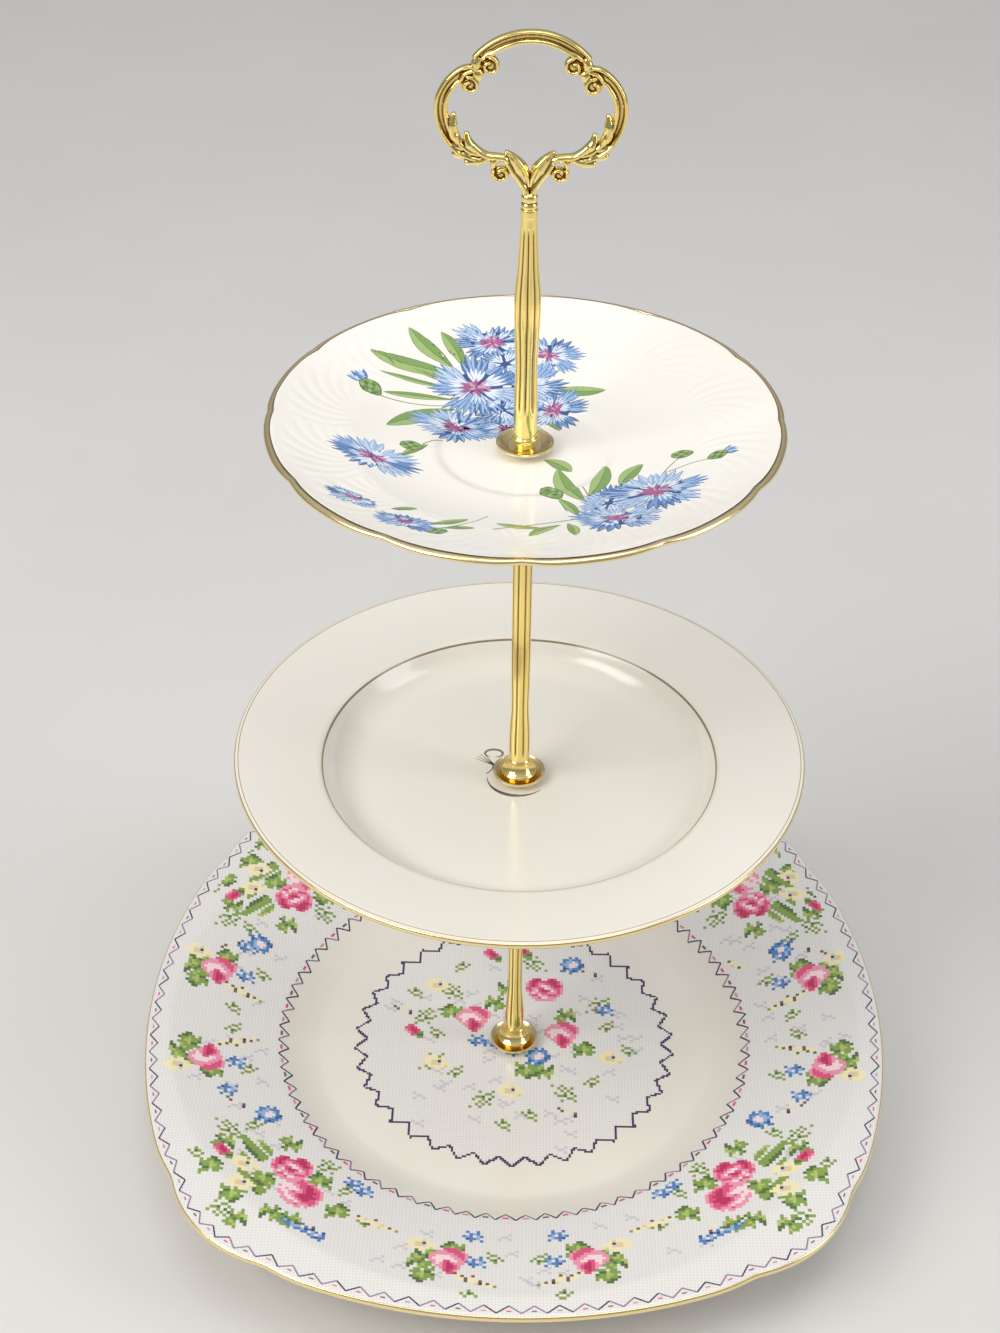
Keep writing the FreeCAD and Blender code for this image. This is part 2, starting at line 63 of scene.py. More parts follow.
class Material:
    """A Principled material and short ways to add nodes to it."""

    def __init__(self, name):
        self.material = bpy.data.materials.new(name)
        self.material.use_nodes = True
        self.tree = self.material.node_tree
        self.shader = self.tree.nodes["Principled BSDF"]

    def set(self, **sockets):
        for name, value in sockets.items():
            self.shader.inputs[name.replace("_", " ")].default_value = value

    def node(self, kind, inputs=None, **settings):
        made = self.tree.nodes.new(kind)
        for name, value in settings.items():
            setattr(made, name, value)
        for name, value in (inputs or {}).items():
            if isinstance(value, bpy.types.NodeSocket):
                self.tree.links.new(value, made.inputs[name])
            else:
                made.inputs[name].default_value = value
        return made

    def drive(self, socket, output):
        self.tree.links.new(output, self.shader.inputs[socket])

    def place(self):
        """Where a point is on the object, in metres."""
        return self.node("ShaderNodeTexCoord").outputs["Object"]

    def noise(self, size, detail=3.0):
        """Soft noise whose features are about size millimetres across."""
        inputs = {"Vector": self.place(), "Scale": 1 / (size * MM), "Detail": detail}
        return self.node("ShaderNodeTexNoise", inputs).outputs["Fac"]

    def maths(self, operation, first, second=0.0):
        inputs = {0: first, 1: second}
        return self.node("ShaderNodeMath", inputs, operation=operation).outputs[0]

    def times(self, first, second):
        return self.maths("MULTIPLY", first, second)

    def range(self, value, low, high, to_low, to_high):
        """Maps low and high, and what lies between them, to the other two numbers."""
        names = ("Value", "From Min", "From Max", "To Min", "To Max")
        inputs = dict(zip(names, (value, low, high, to_low, to_high)))
        return self.node("ShaderNodeMapRange", inputs).outputs[0]

    def mix(self, share, first, second):
        inputs = {0: share, 6: first, 7: second}
        return self.node("ShaderNodeMix", inputs, data_type="RGBA").outputs[2]

    def bump(self, height, strength, depth):
        """Fine relief, depth millimetres deep."""
        inputs = {"Height": height, "Strength": strength, "Distance": depth * MM}
        self.drive("Normal", self.node("ShaderNodeBump", inputs).outputs["Normal"])


def china(name, colour, warm):
    """Glazed china: a faint mottle in the body and slow waves in the glaze."""
    made = Material(name)
    made.set(IOR=1.5, Coat_Weight=0.25, Coat_Roughness=0.06)
    tone = made.mix(made.noise(38), linear(colour), linear(warm))
    made.drive("Roughness", made.range(made.noise(12), 0.3, 0.7, 0.14, 0.22))
    made.bump(made.noise(9, 1.0), 0.15, 0.05)
    return made, tone


def plain_china(name, colour, warm):
    made, tone = china(name, colour, warm)
    made.drive("Base Color", tone)
    return made.material


def canvas_china(name, colour, warm, medallion, teeth, depth, verge):
    """China printed on its upper face with a grey needlework canvas: inside the toothed
    medallion and outside the verge, with a plain ring between them."""
    made, tone = china(name, colour, warm)
    split = made.node("ShaderNodeSeparateXYZ", {"Vector": made.place()})
    x, y = split.outputs["X"], split.outputs["Y"]
    threads = []
    for way in (x, y):
        wave = made.maths("SINE", made.times(way, FULL_TURN / (CELL * MM)))
        threads.append(made.range(wave, -1, 1, 0, 1))
    weave = made.mix(made.times(*threads), linear(CANVAS_LIGHT), linear(CANVAS_DARK))

    radius = made.maths("SQRT", made.maths("ADD", made.times(x, x), made.times(y, y)))
    turns = made.times(made.maths("ARCTAN2", y, x), teeth / FULL_TURN)
    tooth = made.maths("PINGPONG", turns, 0.5)
    edge = made.range(tooth, 0, 0.5, (medallion - depth / 2) * MM, (medallion + depth / 2) * MM)
    inside = made.maths("LESS_THAN", radius, edge)
    outside = made.maths("GREATER_THAN", radius, verge * MM)
    normal = made.node("ShaderNodeNewGeometry").outputs["Normal"]
    facing = made.node("ShaderNodeSeparateXYZ", {"Vector": normal}).outputs["Z"]
    upper = made.maths("GREATER_THAN", facing, 0.3)
    printed = made.times(made.maths("MAXIMUM", inside, outside), upper)
    made.drive("Base Color", made.mix(printed, tone, weave))
    return made.material


def gilt(name, colour, shadow, rough, reeds=0, reeded=(0, 0)):
    """Polished gold plate with fine uneven polish, and painted shade in its hollows: browner in the
    grooves between reeds, over the heights in reeded, or else wherever the mesh turns inwards."""
    made = Material(name)
    made.set(Metallic=1.0)
    if reeds:
        split = made.node("ShaderNodeSeparateXYZ", {"Vector": made.place()})
        x, y, z = (split.outputs[axis] for axis in "XYZ")
        wave = made.times(made.maths("ARCTAN2", y, x), reeds / 2)
        ridge = made.maths("ABSOLUTE", made.maths("COSINE", wave))
        groove = made.range(ridge, *GROOVE_SHARE, 1, 0)
        low, high = (height * MM for height in reeded)
        above = made.range(z, low, low + REED_EASE * MM, 0, 1)
        below = made.range(z, high - REED_EASE * MM, high, 1, 0)
        hollow_shade = made.times(groove, made.times(above, below))
    else:
        bend = made.node("ShaderNodeNewGeometry").outputs["Pointiness"]
        hollow_shade = made.range(bend, *HOLLOW_BEND, 1, 0)
    # painted shade: the base colour turns to the shadow colour in the hollows
    made.drive("Base Color", made.mix(hollow_shade, linear(colour), linear(shadow)))
    made.drive("Roughness", made.range(made.noise(4), 0.3, 0.7, rough * 0.85, rough * 1.2))
    return made.material


def plastic(name, colour):
    made = Material(name)
    made.set(Subsurface_Weight=0.1, Subsurface_Scale=0.001)
    made.drive("Base Color", made.mix(made.noise(1.2), linear(colour), linear((222, 218, 205))))
    made.drive("Roughness", made.range(made.noise(0.6), 0.3, 0.7, 0.42, 0.6))
    return made.material


def enamel(name, colour):
    """Fired enamel colour, slightly raised and uneven under its gloss."""
    made = Material(f"enamel_{name}")
    made.set(Base_Color=linear(colour), Roughness=0.24, Coat_Weight=0.35, Coat_Roughness=0.08)
    made.bump(made.noise(0.8), 0.3, 0.02)
    return made.material


CELL = 1.15  # one stitch of the needlework print
REED_EASE = 2.2  # over this length the reeds on a rod fade in and out
GROOVE_SHARE = 0.12, 0.62  # a groove's painted shade is brown up to the first share of a ridge, gold from the next
HOLLOW_BEND = 0.474, 0.503  # the same painted shade for how far a mesh turns inwards, where 0.5 is flat
CANVAS_LIGHT = (235, 232, 227)
CANVAS_DARK = (218, 216, 212)

INKS = {
    # needlework print
    "pink_pale": (250, 222, 224), "pink": (240, 152, 174), "rose": (224, 84, 126),
    "crimson": (190, 46, 92), "leaf_pale": (176, 194, 104), "leaf": (134, 162, 76),
    "leaf_dark": (84, 114, 62), "sky": (150, 184, 220), "blue": (84, 130, 190),
    "navy": (54, 84, 140), "straw": (245, 234, 190), "amber": (232, 210, 150),
    "olive": (158, 158, 84),
    "umber": (122, 96, 72), "plum": (66, 54, 92), "mist": (210, 205, 210),
    "mauve": (150, 128, 160), "blush": (214, 150, 154),
    # cornflowers
    "floret_white": (236, 242, 249), "floret_pale": (200, 219, 240),
    "floret_light": (166, 195, 228), "floret": (126, 163, 210),
    "floret_deep": (90, 128, 186), "floret_dark": (57, 84, 133),
    "stamen": (172, 98, 146), "stamen_pale": (214, 164, 194), "stamen_dark": (118, 58, 108),
    "blade_pale": (166, 191, 117), "blade": (131, 165, 90), "blade_dark": (85, 119, 71),
    "blade_line": (96, 120, 80), "stalk": (156, 160, 126),
    # gilt lines, and the painted shade line inside the saucer's gilt band
    "gold_line": (178, 148, 92), "brown_shade_line": (96, 68, 40), "sepia": (84, 74, 58),
    "grey_line": (128, 124, 110),
}
# gold, and the brown of the painted shade in its grooves and hollows
GOLD, GOLD_SHADOW = (253, 230, 148), (150, 104, 40)

inks = {name: enamel(name, colour) for name, colour in INKS.items()}
# each gilt's second colour is the painted shade of its hollows
gilt_casting = gilt("gilt_casting", GOLD, (118, 74, 24), 0.13)
gilt_washer = gilt("gilt_washer", (246, 226, 168), (190, 150, 84), 0.17)
gilt_rim = gilt("gilt_rim", (252, 231, 176), (204, 170, 112), 0.2)
gilt_thread = gilt("plated_steel", (214, 190, 128), (120, 94, 52), 0.22)
gasket_plastic = plastic("gasket_plastic", (240, 238, 228))


# Meshes --------------------------------------------------------------------------------

def add_mesh(name, points, faces, materials, picks=None, smooth=True):
    """An object from points in millimetres. picks gives each face's material."""
    mesh = bpy.data.meshes.new(name)
    mesh.from_pydata((np.asarray(points, float) * MM).tolist(), [], faces)
    for material in materials:
        mesh.materials.append(material)
    if picks is not None:
        mesh.polygons.foreach_set("material_index", picks)
    mesh.polygons.foreach_set("use_smooth", [smooth] * len(mesh.polygons))
    made = bpy.data.objects.new(name, mesh)
    bpy.context.scene.collection.objects.link(made)
    return made


def grid_faces(rings, around, closed=False):
    """Quads between rings of points, and from the last ring back to the first if closed."""
    ring = np.arange(rings if closed else rings - 1)[:, None] * around
    spot = np.arange(around)[None, :]
    beside = (spot + 1) % around
    following = (ring + around) % (rings * around)
    corners = (ring + spot, following + spot, following + beside, ring + beside)
    return np.stack(corners, axis=-1).reshape(-1, 4).tolist()


def ring_points(radii, heights, angles):
    """Points of rings whose radii and heights are numbers or one value for each angle."""
    shape = (len(radii), len(angles))
    radii = np.array([np.broadcast_to(r, shape[1]) for r in radii])
    heights = np.array([np.broadcast_to(h, shape[1]) for h in heights])
    return np.stack([radii * np.cos(angles), radii * np.sin(angles), heights], axis=-1)


def angles_of(count):
    return np.arange(count) * FULL_TURN / count


def tube_faces(rings, around, first=0):
    """A closed tube: quads between its rings and a cap at each end."""
    last = (rings - 1) * around
    faces = grid_faces(rings, around)
    faces.append(list(range(around)))
    faces.append(list(range(last + around - 1, last - 1, -1)))
    return [[first + corner for corner in face] for face in faces]


def turned(name, radii, heights, around, material):
    """A closed turned piece from a section that runs from its upper end to its lower one."""
    points = ring_points(radii, heights, angles_of(around))
    return add_mesh(name, points.reshape(-1, 3), tube_faces(len(radii), around), [material])


def crisp(piece, degrees):
    """Shades edges sharper than this flat."""
    piece.data.set_sharp_from_angle(angle=math.radians(degrees))


def polar(reach, angle):
    return reach * math.cos(angle), reach * math.sin(angle)


def to_the_left(path):
    """Unit directions to the left of a path at each of its points."""
    along = np.gradient(path, axis=0)
    along /= np.maximum(np.linalg.norm(along, axis=1, keepdims=True), 1e-9)
    return np.stack([-along[:, 1], along[:, 0]], axis=1)


def walked(path):
    """How far along a path each of its points lies."""
    return np.concatenate([[0], np.cumsum(np.linalg.norm(np.diff(path, axis=0), axis=1))])


def blurred(values, width):
    """Values smoothed by a bell curve, width samples wide, with their ends held."""
    reach = int(3 * width) + 1
    bell = np.exp(-0.5 * (np.arange(-reach, reach + 1) / width) ** 2)
    padded = np.concatenate([np.full(reach, values[0]), values, np.full(reach, values[-1])])
    return np.convolve(padded, bell / bell.sum(), mode="valid")


# Sections read from the frame ----------------------------------------------------------

class Solid:
    """A CAD node whose shape is read by casting rays at it."""

    OUTSIDE = 5.0

    def __init__(self, node):
        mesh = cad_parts[node].data
        points = [v.co / MM for v in mesh.vertices]
        self.tree = BVHTree.FromPolygons(points, [tuple(p.vertices) for p in mesh.polygons])
        self.low, self.high = (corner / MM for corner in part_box(node))

    def height(self, radius, above):
        """Mean height of the upper or lower surface at a radius, near the diagonals."""
        start = self.high.z + self.OUTSIDE if above else self.low.z - self.OUTSIDE
        way = Vector((0, 0, -1 if above else 1))
        hits = []
        for quarter in range(4):
            for lean in range(-6, 7, 2):
                angle = math.radians(45 + 90 * quarter + lean)
                spot = Vector((radius * math.cos(angle), radius * math.sin(angle), start))
                hit = self.tree.ray_cast(spot, way)[0]
                if hit:
                    hits.append(hit.z)
        return sum(hits) / len(hits)

    def radius(self, height, angle):
        """Distance of the outer surface from the axis."""
        way = Vector((math.cos(angle), math.sin(angle), 0))
        start = way * (self.high.x * 2) + Vector((0, 0, height))
        return self.tree.ray_cast(start, -way)[0].xy.length

    def girth(self, height):
        """Largest radius at a height, which is the true one of a faceted round."""
        return max(self.radius(height, angle) for angle in angles_of(24))


# Plates --------------------------------------------------------------------------------

GILT_RISE, GILT_THICKNESS = 0.035, 0.1


class Plate:
    """One plate's china, as a closed grid of rings: out over the top, round the edge, back
    underneath and up through the hole."""

    EDGE_STEPS = 10

    def __init__(self, tier, around, top_step, under_step, edge, round_out_to=None,
                 outline=None, relief=None):
        self.tier, self.edge = tier, edge
        self.body = f"{tier}_plate"
        self.solid = Solid(self.body)
        self.angles = angles_of(around)
        self.relief = relief or (lambda radius, angle: 0 * radius)
        plain = np.full(around, self.solid.high.x)
        self.outline = plain if outline is None else outline(self.solid, self.angles)
        hole = self.solid_hole()
        self.round_out_to = round_out_to or plain[0] * 0.8
        reach = self.outline.max() - edge

        self.section = np.arange(hole + 0.1, reach, 0.5)
        self.tops, self.unders = (
            blurred(np.array([self.solid.height(r, above) for r in self.section]), 1.2)
            for above in (True, False))

        radii = self.radii(hole, reach, top_step)
        back = self.radii(hole, reach, under_step)[::-1]
        heights = [self.top(ring, self.angles) for ring in radii]
        unders = [np.interp(ring, self.section, self.unders) for ring in back]
        self.rim_start = len(radii)
        middle, half = (heights[-1] + unders[0]) / 2, (heights[-1] - unders[0]) / 2
        slope = (heights[-1] - heights[-2]) / (radii[-1] - radii[-2])
        lip = radii[-1]
        for step in range(1, self.EDGE_STEPS):
            way = math.pi * (0.5 - step / self.EDGE_STEPS)
            out = edge * math.cos(way)
            radii.append(lip + out)
            heights.append(middle + half * math.sin(way) + slope * out)
        self.points = ring_points(radii + back, heights + unders, self.angles)

    def solid_hole(self):
        """Radius of the hole: the first radius where a ray from above meets china."""
        for tenth in range(20, 80):
            spot = Vector((tenth / 10, 0.0, self.solid.high.z + 1))
            if self.solid.tree.ray_cast(spot, Vector((0, 0, -1)))[0]:
                return tenth / 10
        raise RuntimeError("no china round the hole")

    def radii(self, hole, reach, step):
        """Ring radii that start round and take on the outline towards the rim."""
        rings = [np.full(len(self.angles), hole + 0.15 * k) for k in range(3)]
        inner = np.arange(hole + 1.0, self.round_out_to, step)
        rings += [np.full(len(self.angles), r) for r in inner]
        left = self.outline - self.edge - self.round_out_to
        count = max(3, round((reach - self.round_out_to) / step))
        return rings + [self.round_out_to + left * (k / count) for k in range(count + 1)]

    def top(self, radius, angle):
        """Height of the glazed upper surface."""
        return np.interp(radius, self.section, self.tops) + self.relief(radius, angle)

    def under_relief(self, depth):
        """Presses the top's relief through to the underside, depth times as strong."""
        first = self.rim_start + self.EDGE_STEPS - 1
        for ring in range(first, len(self.points)):
            radius = np.hypot(self.points[ring, :, 0], self.points[ring, :, 1])
            self.points[ring, :, 2] += depth * self.relief(radius, self.angles)

    def china(self, material):
        faces = grid_faces(*self.points.shape[:2], closed=True)
        made = add_mesh(f"{self.body}_china", self.points.reshape(-1, 3), faces, [material])
        return finished(made, self.body, f"{self.tier}_china", self.body)

    def gilding(self, name, first, last):
        """Gold laid over the rings from first to last, counted from the edge's first ring."""
        rings = self.points[self.rim_start + first:self.rim_start + last + 1]
        along = np.gradient(rings, axis=0)
        across = np.roll(rings, -1, axis=1) - np.roll(rings, 1, axis=1)
        normal = np.cross(along, across)
        normal /= np.linalg.norm(normal, axis=2, keepdims=True)
        raised = rings + normal * GILT_RISE
        faces = grid_faces(*raised.shape[:2])
        made = add_mesh(name, raised.reshape(-1, 3), faces, [gilt_rim])
        thicken(made, GILT_THICKNESS)
        return finished(made, self.body, f"{self.tier}_china")


def thicken(piece, thickness):
    """Makes an open sheet a thin closed slab that reaches down into what it lies on."""
    slab = piece.modifiers.new("slab", "SOLIDIFY")
    slab.thickness = thickness * MM
    slab.offset = -1
    slab.use_even_offset = False


def finished(piece, body, slot, *replaced):
    """Puts a piece on its body and hides the nodes that it stands for. slot is not used."""
    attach(piece, body)
    if replaced:
        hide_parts(*replaced)
    return piece


def square_outline(solid, angles):
    """The lobed square's outline, read just under its upper edge."""
    height = solid.high.z - SQUARE_EDGE_READ
    around = np.array([solid.radius(height, angle) for angle in angles])
    joined = np.concatenate([around[-8:], around, around[:8]])
    return blurred(joined, 1.0)[8:-8]


SQUARE_EDGE_READ = 1.9  # how far under the upper edge
SCALLOPS, SCALLOP_DEPTH = 12, 0.8


def scalloped_outline(solid, angles):
    """Twelve shallow bows between pointed notches."""
    bow = np.abs(np.sin(SCALLOPS / 2 * angles))
    return solid.high.x - SCALLOP_DEPTH * (1 - bow) ** 2


SHELL_ROOT, SHELL_FROM, SHELL_TO = 47.0, 6.0, 25.0
SHELL_RIBS, SHELL_DEPTH, SHELL_SWIRL = 22, 0.18, 0.045
LIP_FROM, LIP_DROP = 72.2, 0.45


def shells(radius, angle):
    """Moulded relief of the saucer: curved ribs fanning out of a point under each scallop, and
    a lip that turns down at the edge."""
    pitch = FULL_TURN / SCALLOPS
    lean = (angle / pitch) % 1 - 0.5
    out = radius * np.cos(lean * pitch) - SHELL_ROOT
    side = radius * np.sin(lean * pitch)
    reach = np.hypot(out, side)
    spread = np.arctan2(side, np.maximum(out, 0.01)) + SHELL_SWIRL * reach
    ribs = np.abs(np.sin(SHELL_RIBS / 2 * spread)) ** 0.8
    rise = np.clip((reach - SHELL_FROM) / 4, 0, 1) * np.clip((SHELL_TO - reach) / 3, 0, 1)
    fade = np.clip((LIP_FROM - radius) / 2.5, 0, 1) * np.clip((radius - SHELL_ROOT) / 4, 0, 1)
    lip = np.clip((radius - LIP_FROM) / 2, 0, None) ** 2
    return SHELL_DEPTH * ribs * rise * fade - LIP_DROP * lip


# radius of the needlework's toothed medallion, and of the verge where its border starts
MEDALLION, MEDALLION_TEETH, TOOTH_DEPTH = 55.2, 38, 4.2
VERGE = 82.7

bottom_plate = Plate("bottom", 480, 1.3, 2.0, 1.6, round_out_to=96.0, outline=square_outline)
middle_plate = Plate("middle", 360, 1.0, 1.3, 1.1)
top_plate = Plate("top", 600, 0.7, 1.4, 0.95, round_out_to=66.0, outline=scalloped_outline,
                  relief=shells)
top_plate.under_relief(0.7)

bottom_plate.china(canvas_china("bottom_china", (240, 236, 226), (232, 226, 212),
                                MEDALLION, MEDALLION_TEETH, TOOTH_DEPTH, VERGE))
middle_plate.china(plain_china("middle_china", (242, 238, 228), (236, 231, 218)))
top_plate.china(plain_china("top_china", (253, 250, 242), (249, 244, 232)))

bottom_plate.gilding("bottom_plate_gilt_edge", 1, 6)
middle_plate.gilding("middle_plate_gilt_edge", 1, 6)
top_plate.gilding("top_plate_gilt_band", -2, 8)


# Printed decoration --------------------------------------------------------------------

class Transfer:
    """Enamel shapes laid on one plate's upper surface, each layer just over the last."""

    LIFT, LAYER, THICKNESS, FINE = 0.03, 0.008, 0.3, 0.9

    def __init__(self, plate):
        self.plate = plate
        self.points, self.faces, self.picks, self.used = [], [], [], []

    def corner(self, x, y, layer):
        """Adds a point just over the plate and gives its number."""
        height = self.plate.top(math.hypot(x, y), math.atan2(y, x))
        self.points.append((x, y, float(height) + self.LIFT + layer * self.LAYER))
        return len(self.points) - 1

    def face(self, corners, ink):
        """Adds a face between numbered points, turned to run anticlockwise."""
        places = [self.points[k] for k in corners]
        area = sum(a[0] * b[1] - b[0] * a[1] for a, b in zip(places, places[1:] + places[:1]))
        if ink not in self.used:
            self.used.append(ink)
        self.faces.append(corners if area > 0 else corners[::-1])
        self.picks.append(self.used.index(ink))

    def strip(self, left, right, ink, layer=0):
        """A band between two edges, split across until it is fine enough to follow the
        plate, with a single point where the edges meet."""
        widest = max(math.dist(a, b) for a, b in zip(left, right))
        across = max(1, math.ceil(widest / self.FINE))
        rows = []
        for a, b in zip(left, right):
            if math.dist(a, b) < 1e-4:
                rows.append([self.corner(*a, layer)] * (across + 1))
            else:
                shares = [k / across for k in range(across + 1)]
                rows.append([self.corner(a[0] + (b[0] - a[0]) * s, a[1] + (b[1] - a[1]) * s, layer)
                             for s in shares])
        for row, following in zip(rows, rows[1:]):
            for k in range(across):
                corners = [row[k], row[k + 1], following[k + 1], following[k]]
                corners = list(dict.fromkeys(corners))
                if len(corners) > 2:
                    self.face(corners, ink)

    def ribbon(self, path, width, ink, layer=0):
        """A line along a path. width is a number or a function of the share of the way."""
        path = np.asarray(path, float)
        shares = np.linspace(0, 1, len(path))
        halves = np.array([(width(s) if callable(width) else width) / 2 for s in shares])
        side = to_the_left(path) * halves[:, None]
        self.strip(path + side, path - side, ink, layer)

    def finish(self, name):
        made = add_mesh(name, self.points, self.faces, [inks[ink] for ink in self.used],
                        self.picks, smooth=False)
        thicken(made, self.THICKNESS)
        return finished(made, self.plate.body, f"{self.plate.tier}_china")


def curve(start, end, bend, steps=8):
    """Points from start to end, bowed to the left by bend times their distance."""
    (x0, y0), (x1, y1) = start, end
    middle = ((x0 + x1) / 2 - (y1 - y0) * bend, (y0 + y1) / 2 + (x1 - x0) * bend)
    path = []
    for k in range(steps + 1):
        s = k / steps
        a, b, c = (1 - s) ** 2, 2 * s * (1 - s), s * s
        path.append((a * x0 + b * middle[0] + c * x1, a * y0 + b * middle[1] + c * y1))
    return path


def circle(radius, count):
    return [polar(radius, FULL_TURN * k / count) for k in range(count + 1)]


# Cornflowers of the saucer -------------------------------------------------------------

def blade(art, start, end, width, ink, layer, steps):
    """A straight pointed shape, widest before its middle."""
    shape = lambda s: width * math.sin(math.pi * min(1, s ** 0.8)) + 0.02 * width * (1 - s)
    art.ribbon(curve(start, end, 0, steps), shape, ink, layer)


def floret(art, place, angle, length, base, tones, layer, rng):
    """A trumpet floret: a fan whose mouth is cut into pointed teeth. Each tooth has a light
    and a shaded side, over a dark fan that shows as an outline."""
    light, shade, dark = tones
    at = lambda reach, lean: place(*polar(reach, angle + lean))
    teeth = rng.choice((4, 5, 5))
    spread = rng.uniform(0.36, 0.46)
    width = 2 * spread / teeth
    throat = max(base, length * 0.2)
    for tooth in range(teeth):
        share = (tooth + 0.5) / teeth * 2 - 1
        lean = spread * share
        tip = length * (1 - 0.16 * share * share + rng.uniform(-0.10, 0.06))
        reaches = throat + (tip - throat) * np.array([0, 0.28, 0.5, 0.66, 0.84, 1.0])
        halves = width / 2 * np.array([0.6, 0.95, 1.06, 0.92, 0.46, 0.0])
        leans = lean * np.array([0.45, 0.75, 0.95, 1.0, 1.02, 1.04])
        outer = 0.16 / reaches * (halves > 0)
        left, right, rib, dark_left, dark_right = (
            [at(reach, lean) for reach, lean in zip(reaches, leans + side)]
            for side in (halves, -halves, 0, halves + outer, -halves - outer))
        dark_left[-1] = dark_right[-1] = at(tip + 0.35, leans[-1])
        art.strip(dark_left, dark_right, dark, layer)
        pair = (light, shade) if rng.random() < 0.65 else (shade, light)
        art.strip(left, rib, pair[0], layer + 1)
        art.strip(rib, right, pair[1], layer + 1)
        if rng.random() < 0.6:
            line = [at(reaches[1], leans[1] + halves[1]), at(reaches[3], leans[3] + halves[3])]
            art.ribbon(line, lambda s: 0.22 - 0.14 * s, dark, layer + 2)


OUTER_TONES = [
    ("floret_light", "floret", "floret_deep"), ("floret", "floret_deep", "floret_dark"),
    ("floret_pale", "floret_light", "floret_deep"), ("floret_light", "floret_deep", "floret_dark"),
]
INNER_TONES = [
    ("floret_white", "floret_pale", "floret_deep"), ("floret_white", "floret_light", "floret_deep"),
    ("floret_white", "floret_white", "floret"), ("floret_white", "floret_pale", "floret_dark"),
]


def cornflower(art, x, y, radius, squash, turn, seed, heart=True, level=4):
    """A cornflower: two rings of florets round a tuft of purple stamens. squash and turn set
    how far it faces away, and which way."""
    rng = random.Random(seed)
    turn = math.radians(turn)

    def place(u, v):
        v *= squash
        return (x + u * math.cos(turn) - v * math.sin(turn),
                y + u * math.sin(turn) + v * math.cos(turn))

    middle = [place(0.5 * radius * x, 0.5 * radius * y) for x, y in circle(1, 18)]
    art.strip(middle, [(x, y)] * len(middle), "floret_dark", level)
    rings = ((7, 1.0, 0.2, OUTER_TONES), (6, 0.64, 0.12, INNER_TONES))
    for ring, (count, reach, base, palettes) in enumerate(rings):
        start = rng.uniform(0, 1)
        for k in range(count):
            angle = FULL_TURN * (k + start + rng.uniform(-0.16, 0.16)) / count
            length = radius * reach * rng.uniform(0.80, 1.12)
            tones = palettes[(k + rng.randint(0, 2)) % len(palettes)]
            floret(art, place, angle, length, radius * base, tones,
                   level + 1 + 4 * ring + k % 2 * 2, rng)
    if not heart:
        return
    for k in range(46):
        angle = rng.uniform(0, FULL_TURN)
        inner, outer = radius * rng.uniform(0, 0.12), radius * rng.uniform(0.15, 0.35)
        ink = rng.choice(("stamen", "stamen", "stamen_pale", "stamen_dark", "stamen"))
        blade(art, place(*polar(inner, angle)), place(*polar(outer, angle)), radius * 0.075,
              ink, level + 10 + k % 3, steps=3)


def leaf(art, root, tip, width, bend):
    """A leaf in two tones with a fine outline and a darker rib."""
    rib = np.array(curve(root, tip, bend, max(14, round(math.dist(root, tip) / 0.8))))
    side = to_the_left(rib)
    half = width / 2 * np.sin(math.pi * np.linspace(0, 1, len(rib)) ** 1.1) ** 0.85
    half[-1] = 0
    edge = side * (half + 0.14 * (half > 0))[:, None]
    half = side * half[:, None]
    art.strip(rib + edge, rib - edge, "blade_line", 1)
    art.strip(rib + half, rib, "blade_pale", 2)
    art.strip(rib, rib - half, "blade", 2)
    art.ribbon(rib[:-2], lambda s: 0.26 * (1 - s) + 0.08, "blade_dark", 3)


def bud(art, x, y, size, turn, open_tuft=True):
    """A scaly green bud with a tuft of blue at its mouth."""
    turn = math.radians(turn)
    way, across = (math.cos(turn), math.sin(turn)), (-math.sin(turn), math.cos(turn))
    at = lambda a, b: (x + way[0] * a + across[0] * b, y + way[1] * a + across[1] * b)
    for length, wide, end, ink, layer in ((1.35, 0.98, 0.05, "blade_line", 5),
                                          (1.25, 0.82, 0, "blade", 6)):
        art.ribbon([at(size * (s / 6 - 0.5) * length, 0) for s in range(7)],
                   lambda s: size * wide * math.sin(math.pi * (0.08 + 0.8 * s)) + end,
                   ink, layer)
    for row in range(3):
        for k in range(3):
            along = size * (-0.38 + 0.3 * row)
            lean = size * (k - 1) * 0.24
            tone = ("blade_pale", "blade_dark")[(row + k) % 2]
            blade(art, at(along, lean), at(along + size * 0.3, lean * 1.1), size * 0.17,
                  tone, 8 + row, steps=4)
    for k in range(6 if open_tuft else 0):
        lean = (k / 5 - 0.5) * 0.95
        reach = size * (1.25 - 0.2 * abs(lean))
        ink = ("floret_deep", "floret_pale", "floret")[k % 3]
        blade(art, at(size * 0.55, lean * size * 0.35),
              at(size * 0.5 + reach * math.cos(lean) * 0.75, reach * math.sin(lean)),
              size * 0.26, ink, 4, steps=4)


def stalk(art, start, end, bend, width=0.42):
    art.ribbon(curve(start, end, bend, 14), lambda s: width * (1.1 - 0.3 * s), "stalk", 0)


